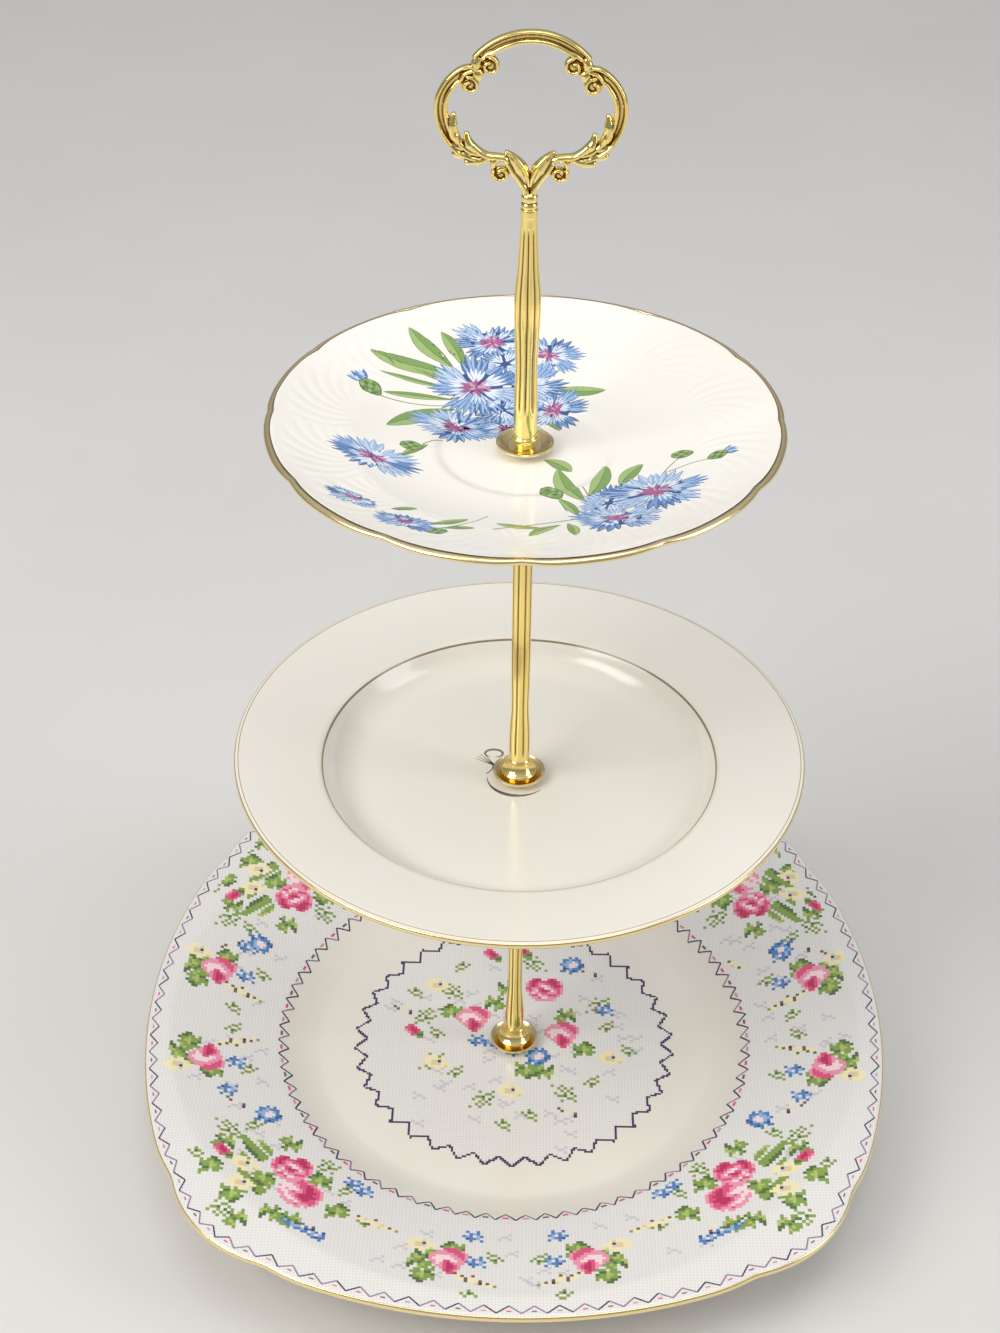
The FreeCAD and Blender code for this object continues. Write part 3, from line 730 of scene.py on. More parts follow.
CORNFLOWER_PRINT = (
    # the large spray behind the rod
    (leaf, (
        ((-22, 40), (-36.4, 55.4), 5.4, 0.10), ((-19, 41), (-26.5, 55.5), 4.4, -0.08),
        ((-22, 38), (-47.6, 42.4), 6.0, 0.14), ((-21, 20), (-40.6, 7.6), 6.0, -0.10),
        ((-20, 19), (-27, 8.5), 5.6, 0.12), ((-22, 25), (-42.4, 23.6), 2.6, -0.05),
        ((-22, 31), (-44, 33.4), 1.8, 0.05), ((-24, 33), (-35, 37), 1.6, -0.08),
        ((2, 27), (10, 11), 5.2, 0.10), ((8, 33), (24, 31), 4.4, -0.12),
        ((-8, 22), (-1, 9), 4.0, 0.12),
    )),
    (stalk, (((-43.6, 21.6), (-22, 22), -0.10),)),
    (bud, ((-46.2, 24.6, 6.2, 132),)),
    (cornflower, (
        (-10.5, 52.5, 13.5, 0.70, 8, 11), (6.8, 47.5, 11.5, 0.78, -20, 12),
        (-20.0, 11.4, 14.5, 0.56, -8, 13), (-5.5, 11.6, 11.0, 0.62, 14, 17, True, 7),
        (8.4, 22, 12.0, 0.76, 50, 14), (-6.5, 43.5, 11.5, 0.7, 30, 15, False, 12),
        (1.0, 33.5, 12.0, 0.9, 70, 19, False, 14), (-7.0, 22.5, 11.5, 0.7, -30, 18, False, 15),
        (-15.0, 31.5, 16.5, 0.88, 20, 16, True, 20),
    )),
    # the flower at the left
    (leaf, (((-35.5, -8), (-28, 0), 2.6, 0.1),)),
    (bud, ((-32.8, -1.4, 5.0, 170, False),)),
    (stalk, (((-29.6, 0.0), (-24, 4), 0.1),)),
    (cornflower, ((-43.4, -11.4, 14.8, 0.58, -24, 21),)),
    # the small flowers near the front left of the rim
    (leaf, (((-36, -43), (-29, -40.5), 2.0, 0.1), ((-25.5, -50), (-15, -43.4), 2.6, -0.1),
            ((-22, -52), (-13, -50), 2.0, 0.1))),
    (stalk, (((-24, -53), (-9.9, -40.1), -0.14),)),
    (bud, ((-23.0, -54.6, 4.2, 205, False),)),
    (cornflower, ((-46.6, -39.6, 9.8, 0.46, -32, 22), (-32.0, -50.4, 9.6, 0.5, -18, 23))),
    # the spray at the front right, with its long stem
    (stalk, (((-8.3, -50.3), (22, -40), 0.06, 0.6), ((19, -40), (16.4, -20.9), -0.10, 0.5),
             ((37, -24), (44, -9.5), 0.14), ((40.5, -16.5), (53, -13), 0.10))),
    (leaf, (
        ((17.5, -30), (9.6, -10.0), 5.4, 0.16), ((18, -27), (23.0, -8.6), 5.0, -0.12),
        ((27, -22), (33.8, -9.8), 4.4, 0.14), ((5.6, -5.4), (13.4, -11.6), 4.6, 0.18),
        ((15, -39.5), (9.6, -28.0), 3.0, -0.12), ((6, -48.6), (-7.5, -45.2), 3.0, 0.10),
        ((10, -46), (1.5, -54.5), 3.2, -0.12), ((12, -45), (14, -54), 3.0, 0.12),
    )),
    (bud, ((7.8, -24.0, 6.6, 118, False),)),
    (stalk, (((10.4, -28.0), (12, -36), -0.1),)),
    (bud, ((45.0, -7.6, 4.6, 175, False), (54.6, -11.8, 4.4, 24))),
    (cornflower, (
        (23.6, -32.0, 11.0, 0.8, 60, 33, False), (25.4, -43.6, 13.8, 0.68, -10, 31, True, 8),
        (36.8, -27.8, 16.5, 0.80, 12, 32, True, 14),
    )),
)

flowers = Transfer(top_plate)
for draw, shapes in CORNFLOWER_PRINT:
    for shape in shapes:
        draw(flowers, *shape)
flowers.finish("top_plate_cornflowers")

# painted shade: a thin brown line along the inner part of the saucer's gilt band
saucer_lines = Transfer(top_plate)
inner_edge = list(map(polar, top_plate.outline - 1.78, top_plate.angles))
saucer_lines.ribbon(inner_edge + inner_edge[:1], 0.24, "brown_shade_line", 2)
saucer_lines.finish("top_plate_gilt_shade_line")


# Middle plate's gilt lines and motif -----------------------------------------------------

WELL_RING = 63.3


def middle_lines():
    art = Transfer(middle_plate)
    art.ribbon(circle(WELL_RING, 360), 0.32, "grey_line", 1)
    art.ribbon(circle(WELL_RING + 0.2, 360), 0.14, "gold_line", 2)
    edge = middle_plate.solid.high.x
    art.ribbon(circle(edge - 1.35, 360), 0.22, "gold_line", 1)
    art.finish("middle_plate_gilt_lines")


def middle_motif():
    """A small sepia sprig in the middle of the well, partly under the rod's foot."""
    art = Transfer(middle_plate)
    root = (-7.8, 5.4)
    for degrees in (122, 132, 142, 152):
        angle = math.radians(degrees)
        tip = (root[0] + 7.4 * math.cos(angle), root[1] + 7.4 * math.sin(angle))
        art.ribbon(curve(root, tip, 0.05), lambda s: 0.42 - 0.3 * s, "sepia", 1)
    loop = [(-8.0 + 2.6 * math.cos(a) - a * 0.2, 11.6 + 1.9 * math.sin(a))
            for a in np.linspace(-1.6, 4.4, 22)]
    art.ribbon(loop, lambda s: 0.3 + 0.7 * math.sin(math.pi * s), "grey_line", 1)
    bowl = [(-0.4 + 9.9 * math.cos(a), -0.6 + 9.0 * math.sin(a))
            for a in np.radians(np.linspace(182, 318, 34))]
    art.ribbon(bowl, lambda s: 0.25 + 1.15 * math.sin(math.pi * s) ** 2, "grey_line", 1)
    art.ribbon(bowl[3:22], lambda s: 0.2 + 0.5 * math.sin(math.pi * s), "sepia", 3)
    art.ribbon(bowl[24:], lambda s: 0.5 - 0.3 * s, "sepia", 3)
    art.ribbon(curve((-10.6, 1.2), (-8.6, 5.6), -0.3, 8), 0.34, "sepia", 2)
    art.finish("middle_plate_motif")


middle_lines()
middle_motif()


# Needlework print of the bottom plate ----------------------------------------------------

def drawings(text):
    """Motifs by name. A blank line parts them, and each starts with its name."""
    blocks = [block.split() for block in text.strip().split("\n\n")]
    return {rows[0]: rows[1:] for rows in blocks}


# each letter of a drawing is one stitch of that ink, and a dot is none
LETTERS = {
    "w": "pink_pale", "p": "pink", "r": "rose", "c": "crimson", "g": "leaf_pale",
    "l": "leaf", "d": "leaf_dark", "s": "sky", "b": "blue", "n": "navy", "y": "straw",
    "a": "amber", "o": "olive", "u": "umber", "m": "mist", "v": "mauve", "k": "plum",
}
MOTIFS = drawings("""
large_rose
....pprp.....
..ppprrrpp...
.wwwpprrcrp..
pwwwwprrccrp.
wwpwwwprccrrp
pwwprpprcccrp
ppwpprccccrrp
.pwwprcccccrp
.ppwwprccrrp.
..pppwprrrrp.
...pprppprp..
.....ppwp....

dark_rose
..rcc..rcr..
.rccrrrcccr.
prcrpprrccrp
prcrpwwprccr
rrpprrwwprrp
prpwrccrwprp
.pwpprrppprp
.prrwpprrrp.
..pprwwppp..
...pppppp...

rose
....rrrr...
..ppprrrrp.
.pppppprrrp
ppwwwwpprrp
pwwwwwwpprp
ppwwrrwwpp.
.pwprcrppp.
..pprccrp..
...prccrp..
....rcrp...
.....rr....

leaf_bars
ll..........
lll..gg.....
.lll..lg....
.dlll.gll...
..dlll.llg..
..ddlll.ll..
...ddlll.l..
.l..ddlll...
.ll..dlll...
..ll..dl....

leaves
...l....
.llg..d.
llgl.dd.
.lldldg.
..dllgg.
.dl.gl..
..l..l..

leaf_clump
..dd....
.ddll.l.
dllglll.
.lgglld.
lllgdd..
.ll.lll.
......l.

twig
....o.
..ol..
.l..l.
l.dl..
..l...

fern
....l..o
.l.l.o..
..l.o...
.d.l..l.
l..dll..
.ll.....
l...o...

bluet
...b.b..
.bbsbbb.
.bsswsb.
bsswwwbn
.bswwsnb
.nbsbbb.
bb.bnb..
...b....

small_bluet
.b..b.
..bsb.
bsbwsb
.nbbs.
..b..b

blue_trail
bs............
.bbs.bb.......
..bsssbb.n....
....bbsnbs....
......bbwsb.n.
........bswsb.
.........bnbb.
...........b..

bud
.rr....
rrcr...
prccr..
.prcrl.
..rldd.
....ll.

primrose
..yyy....
.yyyyay..
yyyamkyy.
.yyaamyyy
..yyyyya.
....yy...

yellow_trail
yu...........
.yya..u......
..yyyyy......
....uyyya....
.......ayyu..
..........yyo

specks
u...y..
.u.....
..y..u.
.....k.

ghost
.m....
..mm..
.m..m.
""")


def placed(text):
    """Motifs and where their middles go in a spray: a name and two lengths each."""
    entries = [entry.split() for entry in text.split(",")]
    return [(name, float(x), float(y)) for name, x, y in entries]


# Each spray is drawn for the front left of the plate and flipped for the other places.
CORNER_SPRAY = placed("""
    yellow_trail 14 31, fern -22 20, twig -28 7, fern -21 -16, leaves 1 18, leaf_clump -25 1,
    leaves -20 14, leaf_clump -17 -9, leaf_bars -9 12, leaf_bars -8 -4, leaf_clump -5 0,
    leaves -3 -16, fern 15 10, leaf_clump 17 -12, leaves -12 -19, twig 20 -1, leaf_clump 13 2,
    twig 27 -16, leaves 5 -18, twig -14 24, primrose -14 4, primrose -13 -5, bud -20 9,
    dark_rose 2 5.5, large_rose 6 -6.5, bluet -8 29, blue_trail 9 -24, small_bluet 23 3,
    small_bluet 27 -1, yellow_trail 31 -17, specks -19 33, specks 10 -21
""")
SIDE_SPRAY = placed("""
    yellow_trail 9 -9, leaves -8 3, leaf_clump -6 -5, leaves -10 0, leaf_clump 3 6, twig 14 2,
    twig 8 -15, primrose -9 7, rose 0 0, small_bluet 9 13, small_bluet 10 0, specks 9 -9
""")
CENTRE_SPRAY = placed("""
    fern -31 12, fern -24 24, twig -36 24, fern -30 -9, twig -20 -15, twig -29 3, fern 8 40,
    fern 30 20, twig 34 8, fern 17 -24, twig -2 -38, fern -12 -26, twig 29 -18, twig 40 -3,
    twig 7 -33, twig -21 38, primrose -29 26, primrose -28 -11, primrose -1 -24, primrose 35 -8,
    specks -40 14, specks 28 34, specks 19 -33, leaves -8 20, leaf_clump -22 14, leaves -3 27,
    leaves 19 14, leaf_clump 3 -13, leaves 12 -14, leaf_clump 24 -3, rose -15 10, dark_rose 12 25,
    rose 17 4, bud -8 42, bud 3 45, bud -36 4, small_bluet -13 0, blue_trail -5 -4, bluet 22 38,
    bluet 9 -8, small_bluet 33 16
""")


class Needlework:
    """Stitches on a square canvas grid. Later motifs cover earlier ones."""

    def __init__(self, cell=CELL):
        self.cell = cell
        self.stitches = {}

    def motif(self, name, x, y, flip_x=1, flip_y=1):
        rows = MOTIFS[name]
        left = round(x / self.cell) - flip_x * len(rows[0]) // 2
        top = round(y / self.cell) + flip_y * len(rows) // 2
        for down, row in enumerate(rows):
            for across, letter in enumerate(row):
                if letter != ".":
                    place = (left + flip_x * across, top - flip_y * down)
                    self.stitches[place] = LETTERS[letter]

    def spray(self, motifs, x, y, flip_x=1, flip_y=1):
        for k, (name, dx, dy) in enumerate(motifs):
            green = name in ("leaves", "leaf_clump", "fern", "twig")
            turn_x, turn_y = ((-1) ** k, (-1) ** (k // 2)) if green else (1, 1)
            self.motif(name, x + dx * flip_x, y + dy * flip_y, flip_x * turn_x,
                       flip_y * turn_y)

    def line(self, start, end, ink):
        """Stitches along a straight line, with none left out."""
        count = math.ceil(math.dist(start, end) / (self.cell * 0.4))
        for k in range(count + 1):
            x = start[0] + (end[0] - start[0]) * k / count
            y = start[1] + (end[1] - start[1]) * k / count
            self.stitches[(round(x / self.cell), round(y / self.cell))] = ink

    def lay(self, art, areas, layer):
        """Each stitch inside the areas as a square. Stitches of one colour share corners."""
        corners = {}
        for (i, j), ink in self.stitches.items():
            if not areas(i * self.cell, j * self.cell):
                continue
            square = [(i, j, ink), (i + 1, j, ink), (i + 1, j + 1, ink), (i, j + 1, ink)]
            for spot in square:
                if spot not in corners:
                    x, y = ((k - 0.5) * self.cell for k in spot[:2])
                    corners[spot] = art.corner(x, y, layer)
            art.face([corners[spot] for spot in square], ink)


def on_canvas(x, y):
    """Whether a place is in the medallion or between the verge and the edge's triangles."""
    reach = math.hypot(x, y)
    turn = math.atan2(y, x) % FULL_TURN / FULL_TURN * len(bottom_plate.angles)
    edge = bottom_plate.outline[round(turn) % len(bottom_plate.angles)]
    return reach < MEDALLION + TOOTH_DEPTH or VERGE + 3.2 < reach < edge - 6.8


def needlework():
    work = Needlework()
    rng = random.Random(7)
    for spot in range(170):
        angle = rng.uniform(0, FULL_TURN)
        reach = rng.uniform(8, 52) if spot % 3 == 0 else rng.uniform(90, 118)
        work.motif("ghost", *polar(reach, angle), rng.choice((1, -1)), rng.choice((1, -1)))
    for x, y, flip_x, flip_y in ((-75, -74, 1, 1), (76, -72, -1, 1),
                                 (-86, 66, 1, -1), (90, 67, -1, -1)):
        work.spray(CORNER_SPRAY, x, y, flip_x, flip_y)
    for x, y, flip_x, flip_y in (
        (-107.6, 20, 1, 1), (-106.8, -21, 1, -1), (106.7, 22, -1, 1), (107.7, -19, -1, -1),
        (-20, -106, 1, 1), (24, -105, -1, 1), (-21, 106, 1, -1), (22, 106, -1, -1),
    ):
        work.spray(SIDE_SPRAY, x, y, flip_x, flip_y)
    work.spray(CENTRE_SPRAY, 0, 0)
    art = Transfer(bottom_plate)
    work.lay(art, on_canvas, 3)
    medallion_line().lay(art, on_canvas, 5)
    art.finish("bottom_plate_needlework")


def stepped(art, start, end, size, ink):
    """A back-stitched line: a row of short dashes."""
    start, end = np.array(start), np.array(end)
    count = max(1, round(math.dist(start, end) / size))
    way = (end - start) / count
    for k in range(count):
        art.ribbon([start + way * (k + 0.04), start + way * (k + 0.96)], size * 0.62, ink, 2)


def medallion_line():
    """The dark toothed line round the medallion, in finer stitches."""
    work = Needlework(CELL * 0.66)
    corners = []
    for k in range(2 * MEDALLION_TEETH + 1):
        reach = MEDALLION + TOOTH_DEPTH * (0.5 if k % 2 else -0.5)
        corners.append(polar(reach, FULL_TURN * k / (2 * MEDALLION_TEETH)))
    for start, end in zip(corners, corners[1:]):
        work.line(start, end, "plum")
    return work


VERGE_PITCH, EDGE_PITCH = 6.6, 8.0


def verge_border(art):
    """Outlined triangles that point inwards round the verge, each with a coloured stitch."""
    count = round(FULL_TURN * VERGE / VERGE_PITCH)
    base, half = VERGE + 1.6, math.pi / count
    for k in range(count):
        middle = FULL_TURN * k / count
        tall = 3.7 if k % 3 else 3.2
        apex = polar(base - tall, middle)
        stepped(art, polar(base, middle - half), apex, 0.95, "plum")
        stepped(art, apex, polar(base, middle + half), 0.95, "plum" if k % 2 else "mauve")
        stitch = [polar(base - tall * 0.3, middle + half * lean) for lean in (-0.3, 0.3)]
        art.ribbon(stitch, 0.8, ("blush", "umber", "rose")[k % 3], 3)


def edge_border(art):
    """Small outlined triangles that stand on the plate's edge, all the way round."""
    edge = np.array(list(map(polar, bottom_plate.outline, bottom_plate.angles)))
    loop = np.concatenate([edge, edge[:1]])
    gone = walked(loop)
    spot = lambda length: np.array([np.interp(length % gone[-1], gone, loop[:, axis])
                                    for axis in (0, 1)])

    def inset(length, depth):
        along = spot(length + 0.8) - spot(length - 0.8)
        along /= np.linalg.norm(along)
        return spot(length) + np.array([-along[1], along[0]]) * depth

    count = round(gone[-1] / EDGE_PITCH)
    pitch = gone[-1] / count
    for k in range(count):
        left, apex, right = (inset((k + share) * pitch, depth)
                             for share, depth in ((0, 1.7), (0.5, 4.5), (1, 1.7)))
        stepped(art, left, apex, 0.85, "plum" if k % 2 else "mauve")
        stepped(art, apex, right, 0.85, "mauve" if k % 3 else "plum")
        stepped(art, inset((k + 0.4) * pitch, 2.5), inset((k + 0.6) * pitch, 2.5), 0.8,
                ("blush", "rose", "umber")[k % 3])


needlework()
borders = Transfer(bottom_plate)
verge_border(borders)
edge_border(borders)
borders.finish("bottom_plate_borders")


# Rods ----------------------------------------------------------------------------------

ROD_BODIES = {"top": "top_column", "middle": "middle_column", "bottom": "lower_column"}
BORE_DEPTH, BORE_BEVEL, END_BEVEL = 9.8, 0.4, 0.12
FINE_STEP, SHAFT_STEP = 0.15, 0.4


def rod(tier, around, reeds, depth, reeded, plain):
    """A gilded rod turned to its CAD section, with rounded reeds between the two heights in
    reeded and, below the top tier, a smooth bore for the stud down from its top. plain gives the
    lengths at the foot and the head whose turned detail stays crisp. Heights are counted from the
    foot."""
    solid = Solid(f"{tier}_rod")
    foot, end = solid.low.z, solid.high.z
    reeded = [foot + height for height in reeded]
    low, high = foot + plain[0], end - plain[1]
    heights = np.arange(foot + 0.05, end - 0.04, 0.1)
    girths = np.array([solid.girth(z) for z in heights])
    shaft = np.clip((heights - low) / 2, 0, 1) * np.clip((high - heights) / 2, 0, 1)
    girths = blurred(girths * (1 - shaft) + blurred(girths, 18) * shaft, 1.5)

    levels = np.concatenate([np.arange(foot, low + 1, FINE_STEP),
                             np.arange(low + 1, high - 1, SHAFT_STEP),
                             np.arange(high - 1, end, FINE_STEP), [end]])[::-1].tolist()
    groove = 1 - np.abs(np.cos(reeds * angles_of(around) / 2)) ** 0.8
    radii = []
    for z in levels:
        share = np.clip(min(z - reeded[0], reeded[1] - z) / REED_EASE, 0, 1)
        radii.append(np.interp(z, heights, girths) - depth * math.sqrt(share) * groove)
    radii[0] = radii[0] - END_BEVEL
    radii[-1] = radii[-1] - END_BEVEL
    if tier != "top":
        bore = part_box("middle_stud")[1].x / MM + 0.05
        radii = [bore - BORE_BEVEL, bore, bore] + radii
        levels = [end - BORE_DEPTH, end - BORE_DEPTH, end] + levels
    # painted shade: the grooves between the reeds are tinted GOLD_SHADOW
    material = gilt(f"gilt_{tier}_rod", GOLD, GOLD_SHADOW, 0.13, reeds, reeded)
    made = turned(f"{tier}_rod_reeded", radii, levels, around, material)
    crisp(made, 50)
    return finished(made, ROD_BODIES[tier], "gilt_rod", f"{tier}_rod")


rod("bottom", 192, 8, 0.30, (8.2, 113.0), (8.0, 6.0))
rod("middle", 192, 8, 0.30, (8.2, 113.0), (8.0, 6.0))
rod("top", 240, 10, 0.45, (12.0, 69.0), (5.5, 5.0))


# Threads and the screw -------------------------------------------------------------------

THREAD_PITCH, THREAD_DEPTH, THREAD_LEAD = 0.7, 0.36, 0.5
THREAD_AROUND, THREAD_STEPS = 48, 8
HEAD_HEIGHT, HEAD_ROUNDING, SOCKET, SOCKET_BEVEL = 2.4, 1.5, 1.25, 0.12


def thread_rings(low, high, radius):
    """Rings of a right-hand thread from its upper end down, running out at both ends."""
    angles = angles_of(THREAD_AROUND)
    levels = np.arange(high, low, -THREAD_PITCH / THREAD_STEPS).tolist() + [low]
    radii = []
    for z in levels:
        phase = (z / THREAD_PITCH - angles / FULL_TURN) % 1
        flank = np.clip(2.4 * np.abs(phase - 0.5) - 0.1, 0, 1)
        fade = np.clip((high - z) / THREAD_LEAD, 0, 1)
        radii.append(radius - THREAD_DEPTH * (1 - (1 - flank) * fade))
    return radii, levels


def stud(node, body):
    low, high = (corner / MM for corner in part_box(node))
    radii, levels = thread_rings(low.z, high.z, high.x)
    made = turned(f"{node}_threaded", radii, levels, THREAD_AROUND, gilt_thread)
    return finished(made, body, "plated_steel", node)


def pan_head_screw():
    """The screw under the bottom plate: a thread over a domed head with a hexagon socket."""
    low, high = (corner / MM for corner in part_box("bottom_screw"))
    radii, levels = thread_rings(low.z + HEAD_HEIGHT, high.z, 2.0)
    for share in (0.0, 0.06, 0.5, 0.8, 0.95, 1.0):
        way = share * math.pi / 2
        radii.append(high.x - 0.1 - HEAD_ROUNDING * (1 - math.cos(way)))
        levels.append(low.z + HEAD_HEIGHT * (1 - math.sin(way)))
    sixth = math.pi / 3
    hexagon = SOCKET / np.cos((angles_of(THREAD_AROUND) + sixth / 2) % sixth - sixth / 2)
    radii += [hexagon + SOCKET_BEVEL, hexagon, hexagon]
    levels += [low.z, low.z + SOCKET_BEVEL, low.z + 1.4]
    made = turned("bottom_screw_pan_head", radii, levels, THREAD_AROUND, gilt_thread)
    crisp(made, 35)
    return finished(made, "base_screw", "plated_steel", "bottom_screw")


stud("middle_stud", "middle_column")
stud("top_stud", "top_column")
stud("handle_stud", "top_column")
pan_head_screw()


# Ring handle -----------------------------------------------------------------------------
# Everything is drawn for the right half and mirrored. x is from the axis and h is from the
# lower face of the collar.

SCROLL_DEPTH = 2.1  # depth of a scroll's bar over its width


class Casting:
    """Overlapping rounded strokes that are then fused into one skin."""

    def __init__(self, base):
        self.base = base
        self.points, self.faces = [], []

    def skin(self, points, rings):
        """Adds a closed tube through rings of points."""
        self.faces += tube_faces(rings, len(points) // rings, len(self.points))
        self.points += points

    def tube(self, centres, radii, flat, around=14):
        """A closed tube along (x, h) points. flat is its depth over its width."""
        points = []
        for centre, side, radius in zip(centres, to_the_left(centres), radii):
            for angle in angles_of(around):
                x, h = centre + side * radius * math.cos(angle)
                points.append((x, radius * flat * math.sin(angle), self.base + h))
        self.skin(points, len(centres))

    def stroke(self, path, radii, flat=1.0, steps=40, mirrored=True):
        """A rounded-off stroke through path, its radii spread evenly along it, and its
        mirror image unless it crosses the middle itself."""
        path = smooth_path(path, steps)
        radii = np.interp(np.linspace(0, 1, len(path)), np.linspace(0, 1, len(radii)), radii)
        lengths = walked(path)
        for end, distance in ((radii[0], lengths), (radii[-1], lengths[-1] - lengths)):
            near = np.clip(distance / end, 0, 1)
            radii = radii * np.sqrt(np.maximum(1 - (1 - near) ** 2, 0.02))
        for hand in (1, -1) if mirrored else (1,):
            self.tube(path * np.array([hand, 1]), radii, flat)

    def spiral(self, x, h, radius, start, turns):
        """A scroll that winds inwards from start degrees, on a thin floor."""
        path = []
        for share in np.linspace(0, 1, 40):
            reach = radius + (radius * 0.24 - radius) * share ** 1.15
            across, up = polar(reach, math.radians(start) + turns * FULL_TURN * share)
            path.append((x + across, h + up))
        self.stroke(path, [0.62, 0.62, 0.589, 0.589, 0.651], SCROLL_DEPTH, 90)
        self.stroke([(x - radius, h), (x, h), (x + radius, h)], [radius] * 3, 0.22, 16)

    def collar(self, section):
        """Turned rings on the axis, from the bottom up or the top down."""
        radii, heights = zip(*section)
        rings = ring_points(radii, np.array(heights) + self.base, angles_of(40))
        self.skin([tuple(point) for point in rings.reshape(-1, 3)], len(radii))


def smooth_path(path, steps):
    """A Catmull-Rom curve through the points, in even steps."""
    path = np.asarray(path, float)
    ends = np.vstack([2 * path[0] - path[1], path, 2 * path[-1] - path[-2]])
    fine = []
    for a, b, c, d in zip(ends, ends[1:], ends[2:], ends[3:]):
        for s in np.linspace(0, 1, 12, endpoint=False):
            fine.append(0.5 * (2 * b + (c - a) * s + (2 * a - 5 * b + 4 * c - d) * s ** 2
                               + (3 * b - a - 3 * c + d) * s ** 3))
    fine = np.array(fine + [path[-1]])
    gone = walked(fine)
    even = np.linspace(0, gone[-1], steps)
    return np.stack([np.interp(even, gone, fine[:, axis]) for axis in (0, 1)], axis=1)


def ring_handle():
    low, high = (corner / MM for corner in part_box("handle_ring"))
    casting = Casting(low.z)
    tall = high.z - low.z
    crown = 20.2

    for inset, ends, radius, flat in ((0.6, 39, 0.6, 2.1), (3.0, 48, 0.78, 1.9), (1.8, 44, 1.2, 0.5)):
        angles = np.radians(np.linspace(ends, 180 - ends, 40))
        arc = [(x, tall - crown + h) for x, h in (polar(crown - inset, a) for a in angles)]
        casting.stroke(arc, [radius] * 3, flat, 120, mirrored=False)

    # knuckles between the crown and the side bars
    casting.spiral(10.9, tall - 9.8, 2.4, 82, 1.15)
    for path, radii, flat in (
        ([(9.6, tall - 5.6), (11.4, tall - 6.6), (13.2, tall - 8.2)], [0.5, 0.62, 0.62], 2.1),
        ([(13.4, tall - 7.4), (14.4, tall - 9.2), (14.4, tall - 11.2)], [1.0, 1.4, 1.2], 0.95),
    ):
        casting.stroke(path, radii, flat)

    # side bars: an outer and an inner bead with a web between them
    for path, radii, flat, steps in (
        ([(13.6, 37.9), (15.6, 39.1), (18.6, 38.4), (22.0, 35.4), (24.2, 31.6), (24.8, 28.6),
          (24.65, 25.5), (23.5, 21.6), (21.0, 17.6), (17.5, 14.9), (13.2, 13.7)],
         [0.6, 0.6, 0.6, 0.62, 0.66, 0.8, 0.7], 2.1, 90),
        ([(17.6, 35.8), (19.4, 34.8), (21.4, 32.0), (22.3, 29.2), (22.35, 26.2), (21.5, 22.4),
          (19.2, 18.9), (16.0, 16.0), (12.0, 14.7)],
         [0.5, 0.72, 0.76, 0.76, 0.8, 0.8, 0.6], 1.8, 90),
        ([(17.2, 37.4), (19.2, 36.6), (22.4, 33.0), (23.6, 28.8), (23.5, 25.6), (22.5, 21.8),
          (20.0, 18.0), (16.5, 15.4)],
         [0.8, 1.1, 1.25, 1.25, 1.2, 1.0, 0.7], 0.45, 60),
    ):
        casting.stroke(path, radii, flat, steps)
    casting.spiral(16.1, 34.1, 2.35, 66, 1.15)

    for path, radii, flat in (
        # knuckles at the head of each side bar
        ([(14.4, 38.4), (17.2, 37.3), (18.6, 35.2)], [0.7, 0.66, 0.6], 2.0),
        ([(13.6, 38.6), (13.9, 37.0), (14.4, 35.2)], [1.3, 1.5, 1.0], 0.9),
        # leaves inside and outside the foot of each side bar
        ([(18.0, 17.4), (20.3, 20.8), (20.5, 23.8), (20.1, 26.9)], [0.8, 1.5, 1.4, 0.5], 1.25),
        ([(13.6, 15.4), (16.2, 18.2), (17.0, 21.6)], [0.9, 1.45, 0.55], 1.25),
        ([(15.2, 15.4), (18.2, 15.0), (20.9, 15.4)], [1.0, 1.3, 0.7], 1.25),
        ([(10.4, 14.4), (13.8, 13.3), (17.6, 12.9)], [1.0, 1.35, 0.75], 1.25),
        ([(17.0, 16.6), (20.2, 17.6), (22.6, 18.4)], [0.9, 1.1, 0.6], 1.25),
        # branch, and the curl that its scroll hangs from
        ([(5.4, 12.2), (6.6, 14.0), (8.8, 14.5), (11.8, 14.9), (14.6, 17.0), (16.6, 20.0)],
         [0.8, 1.0, 1.05, 1.05, 0.95, 0.5], 1.5),
        ([(7.6, 14.2), (9.4, 13.3), (10.0, 11.2)], [0.9, 0.95, 0.7], 1.6),
    ):
        casting.stroke(path, radii, flat)
    casting.spiral(7.7, 9.9, 2.25, 30, -1.15)

    for path, radii, flat in (
        # stem down to the collar
        ([(0.9, 3.2), (1.4, 5.8), (3.0, 8.5), (4.8, 10.9), (6.2, 13.4)],
         [1.05, 1.05, 1.0, 1.0, 0.9], 1.5),
        # the pair of broad leaves that make the heart, creased along the middle
        ([(0.3, 5.2), (1.3, 8.8), (2.9, 12.0), (4.9, 14.4), (6.75, 16.3)],
         [0.6, 1.5, 2.1, 1.6, 0.35], 0.85),
        ([(0.1, 6.0), (0.7, 9.2), (2.2, 12.6), (4.5, 15.0), (6.7, 16.4)],
         [0.4, 0.75, 0.85, 0.6, 0.3], 2.35),
    ):
        casting.stroke(path, radii, flat)
    casting.collar([(1.3, 4.6), (2.0, 4.2), (2.3, 3.7), (2.36, 3.0), (2.2, 2.4), (1.95, 2.1),
                    (1.95, 1.8), (2.25, 1.5), (2.36, 1.0), (2.3, 0.5), (2.0, 0.12), (1.3, 0.0)])

    made = add_mesh("handle_ring_cast", casting.points, casting.faces, [gilt_casting])
    skin = made.modifiers.new("fuse", "REMESH")
    skin.mode = "VOXEL"
    skin.voxel_size = 0.19 * MM
    skin.use_smooth_shade = True
    relax = made.modifiers.new("relax", "SMOOTH")
    relax.factor = 0.5
    relax.iterations = 4
    return finished(made, "top_column", "gilt_casting", "handle_ring")


ring_handle()


# CAD nodes that stay, with their finish --------------------------------------------------

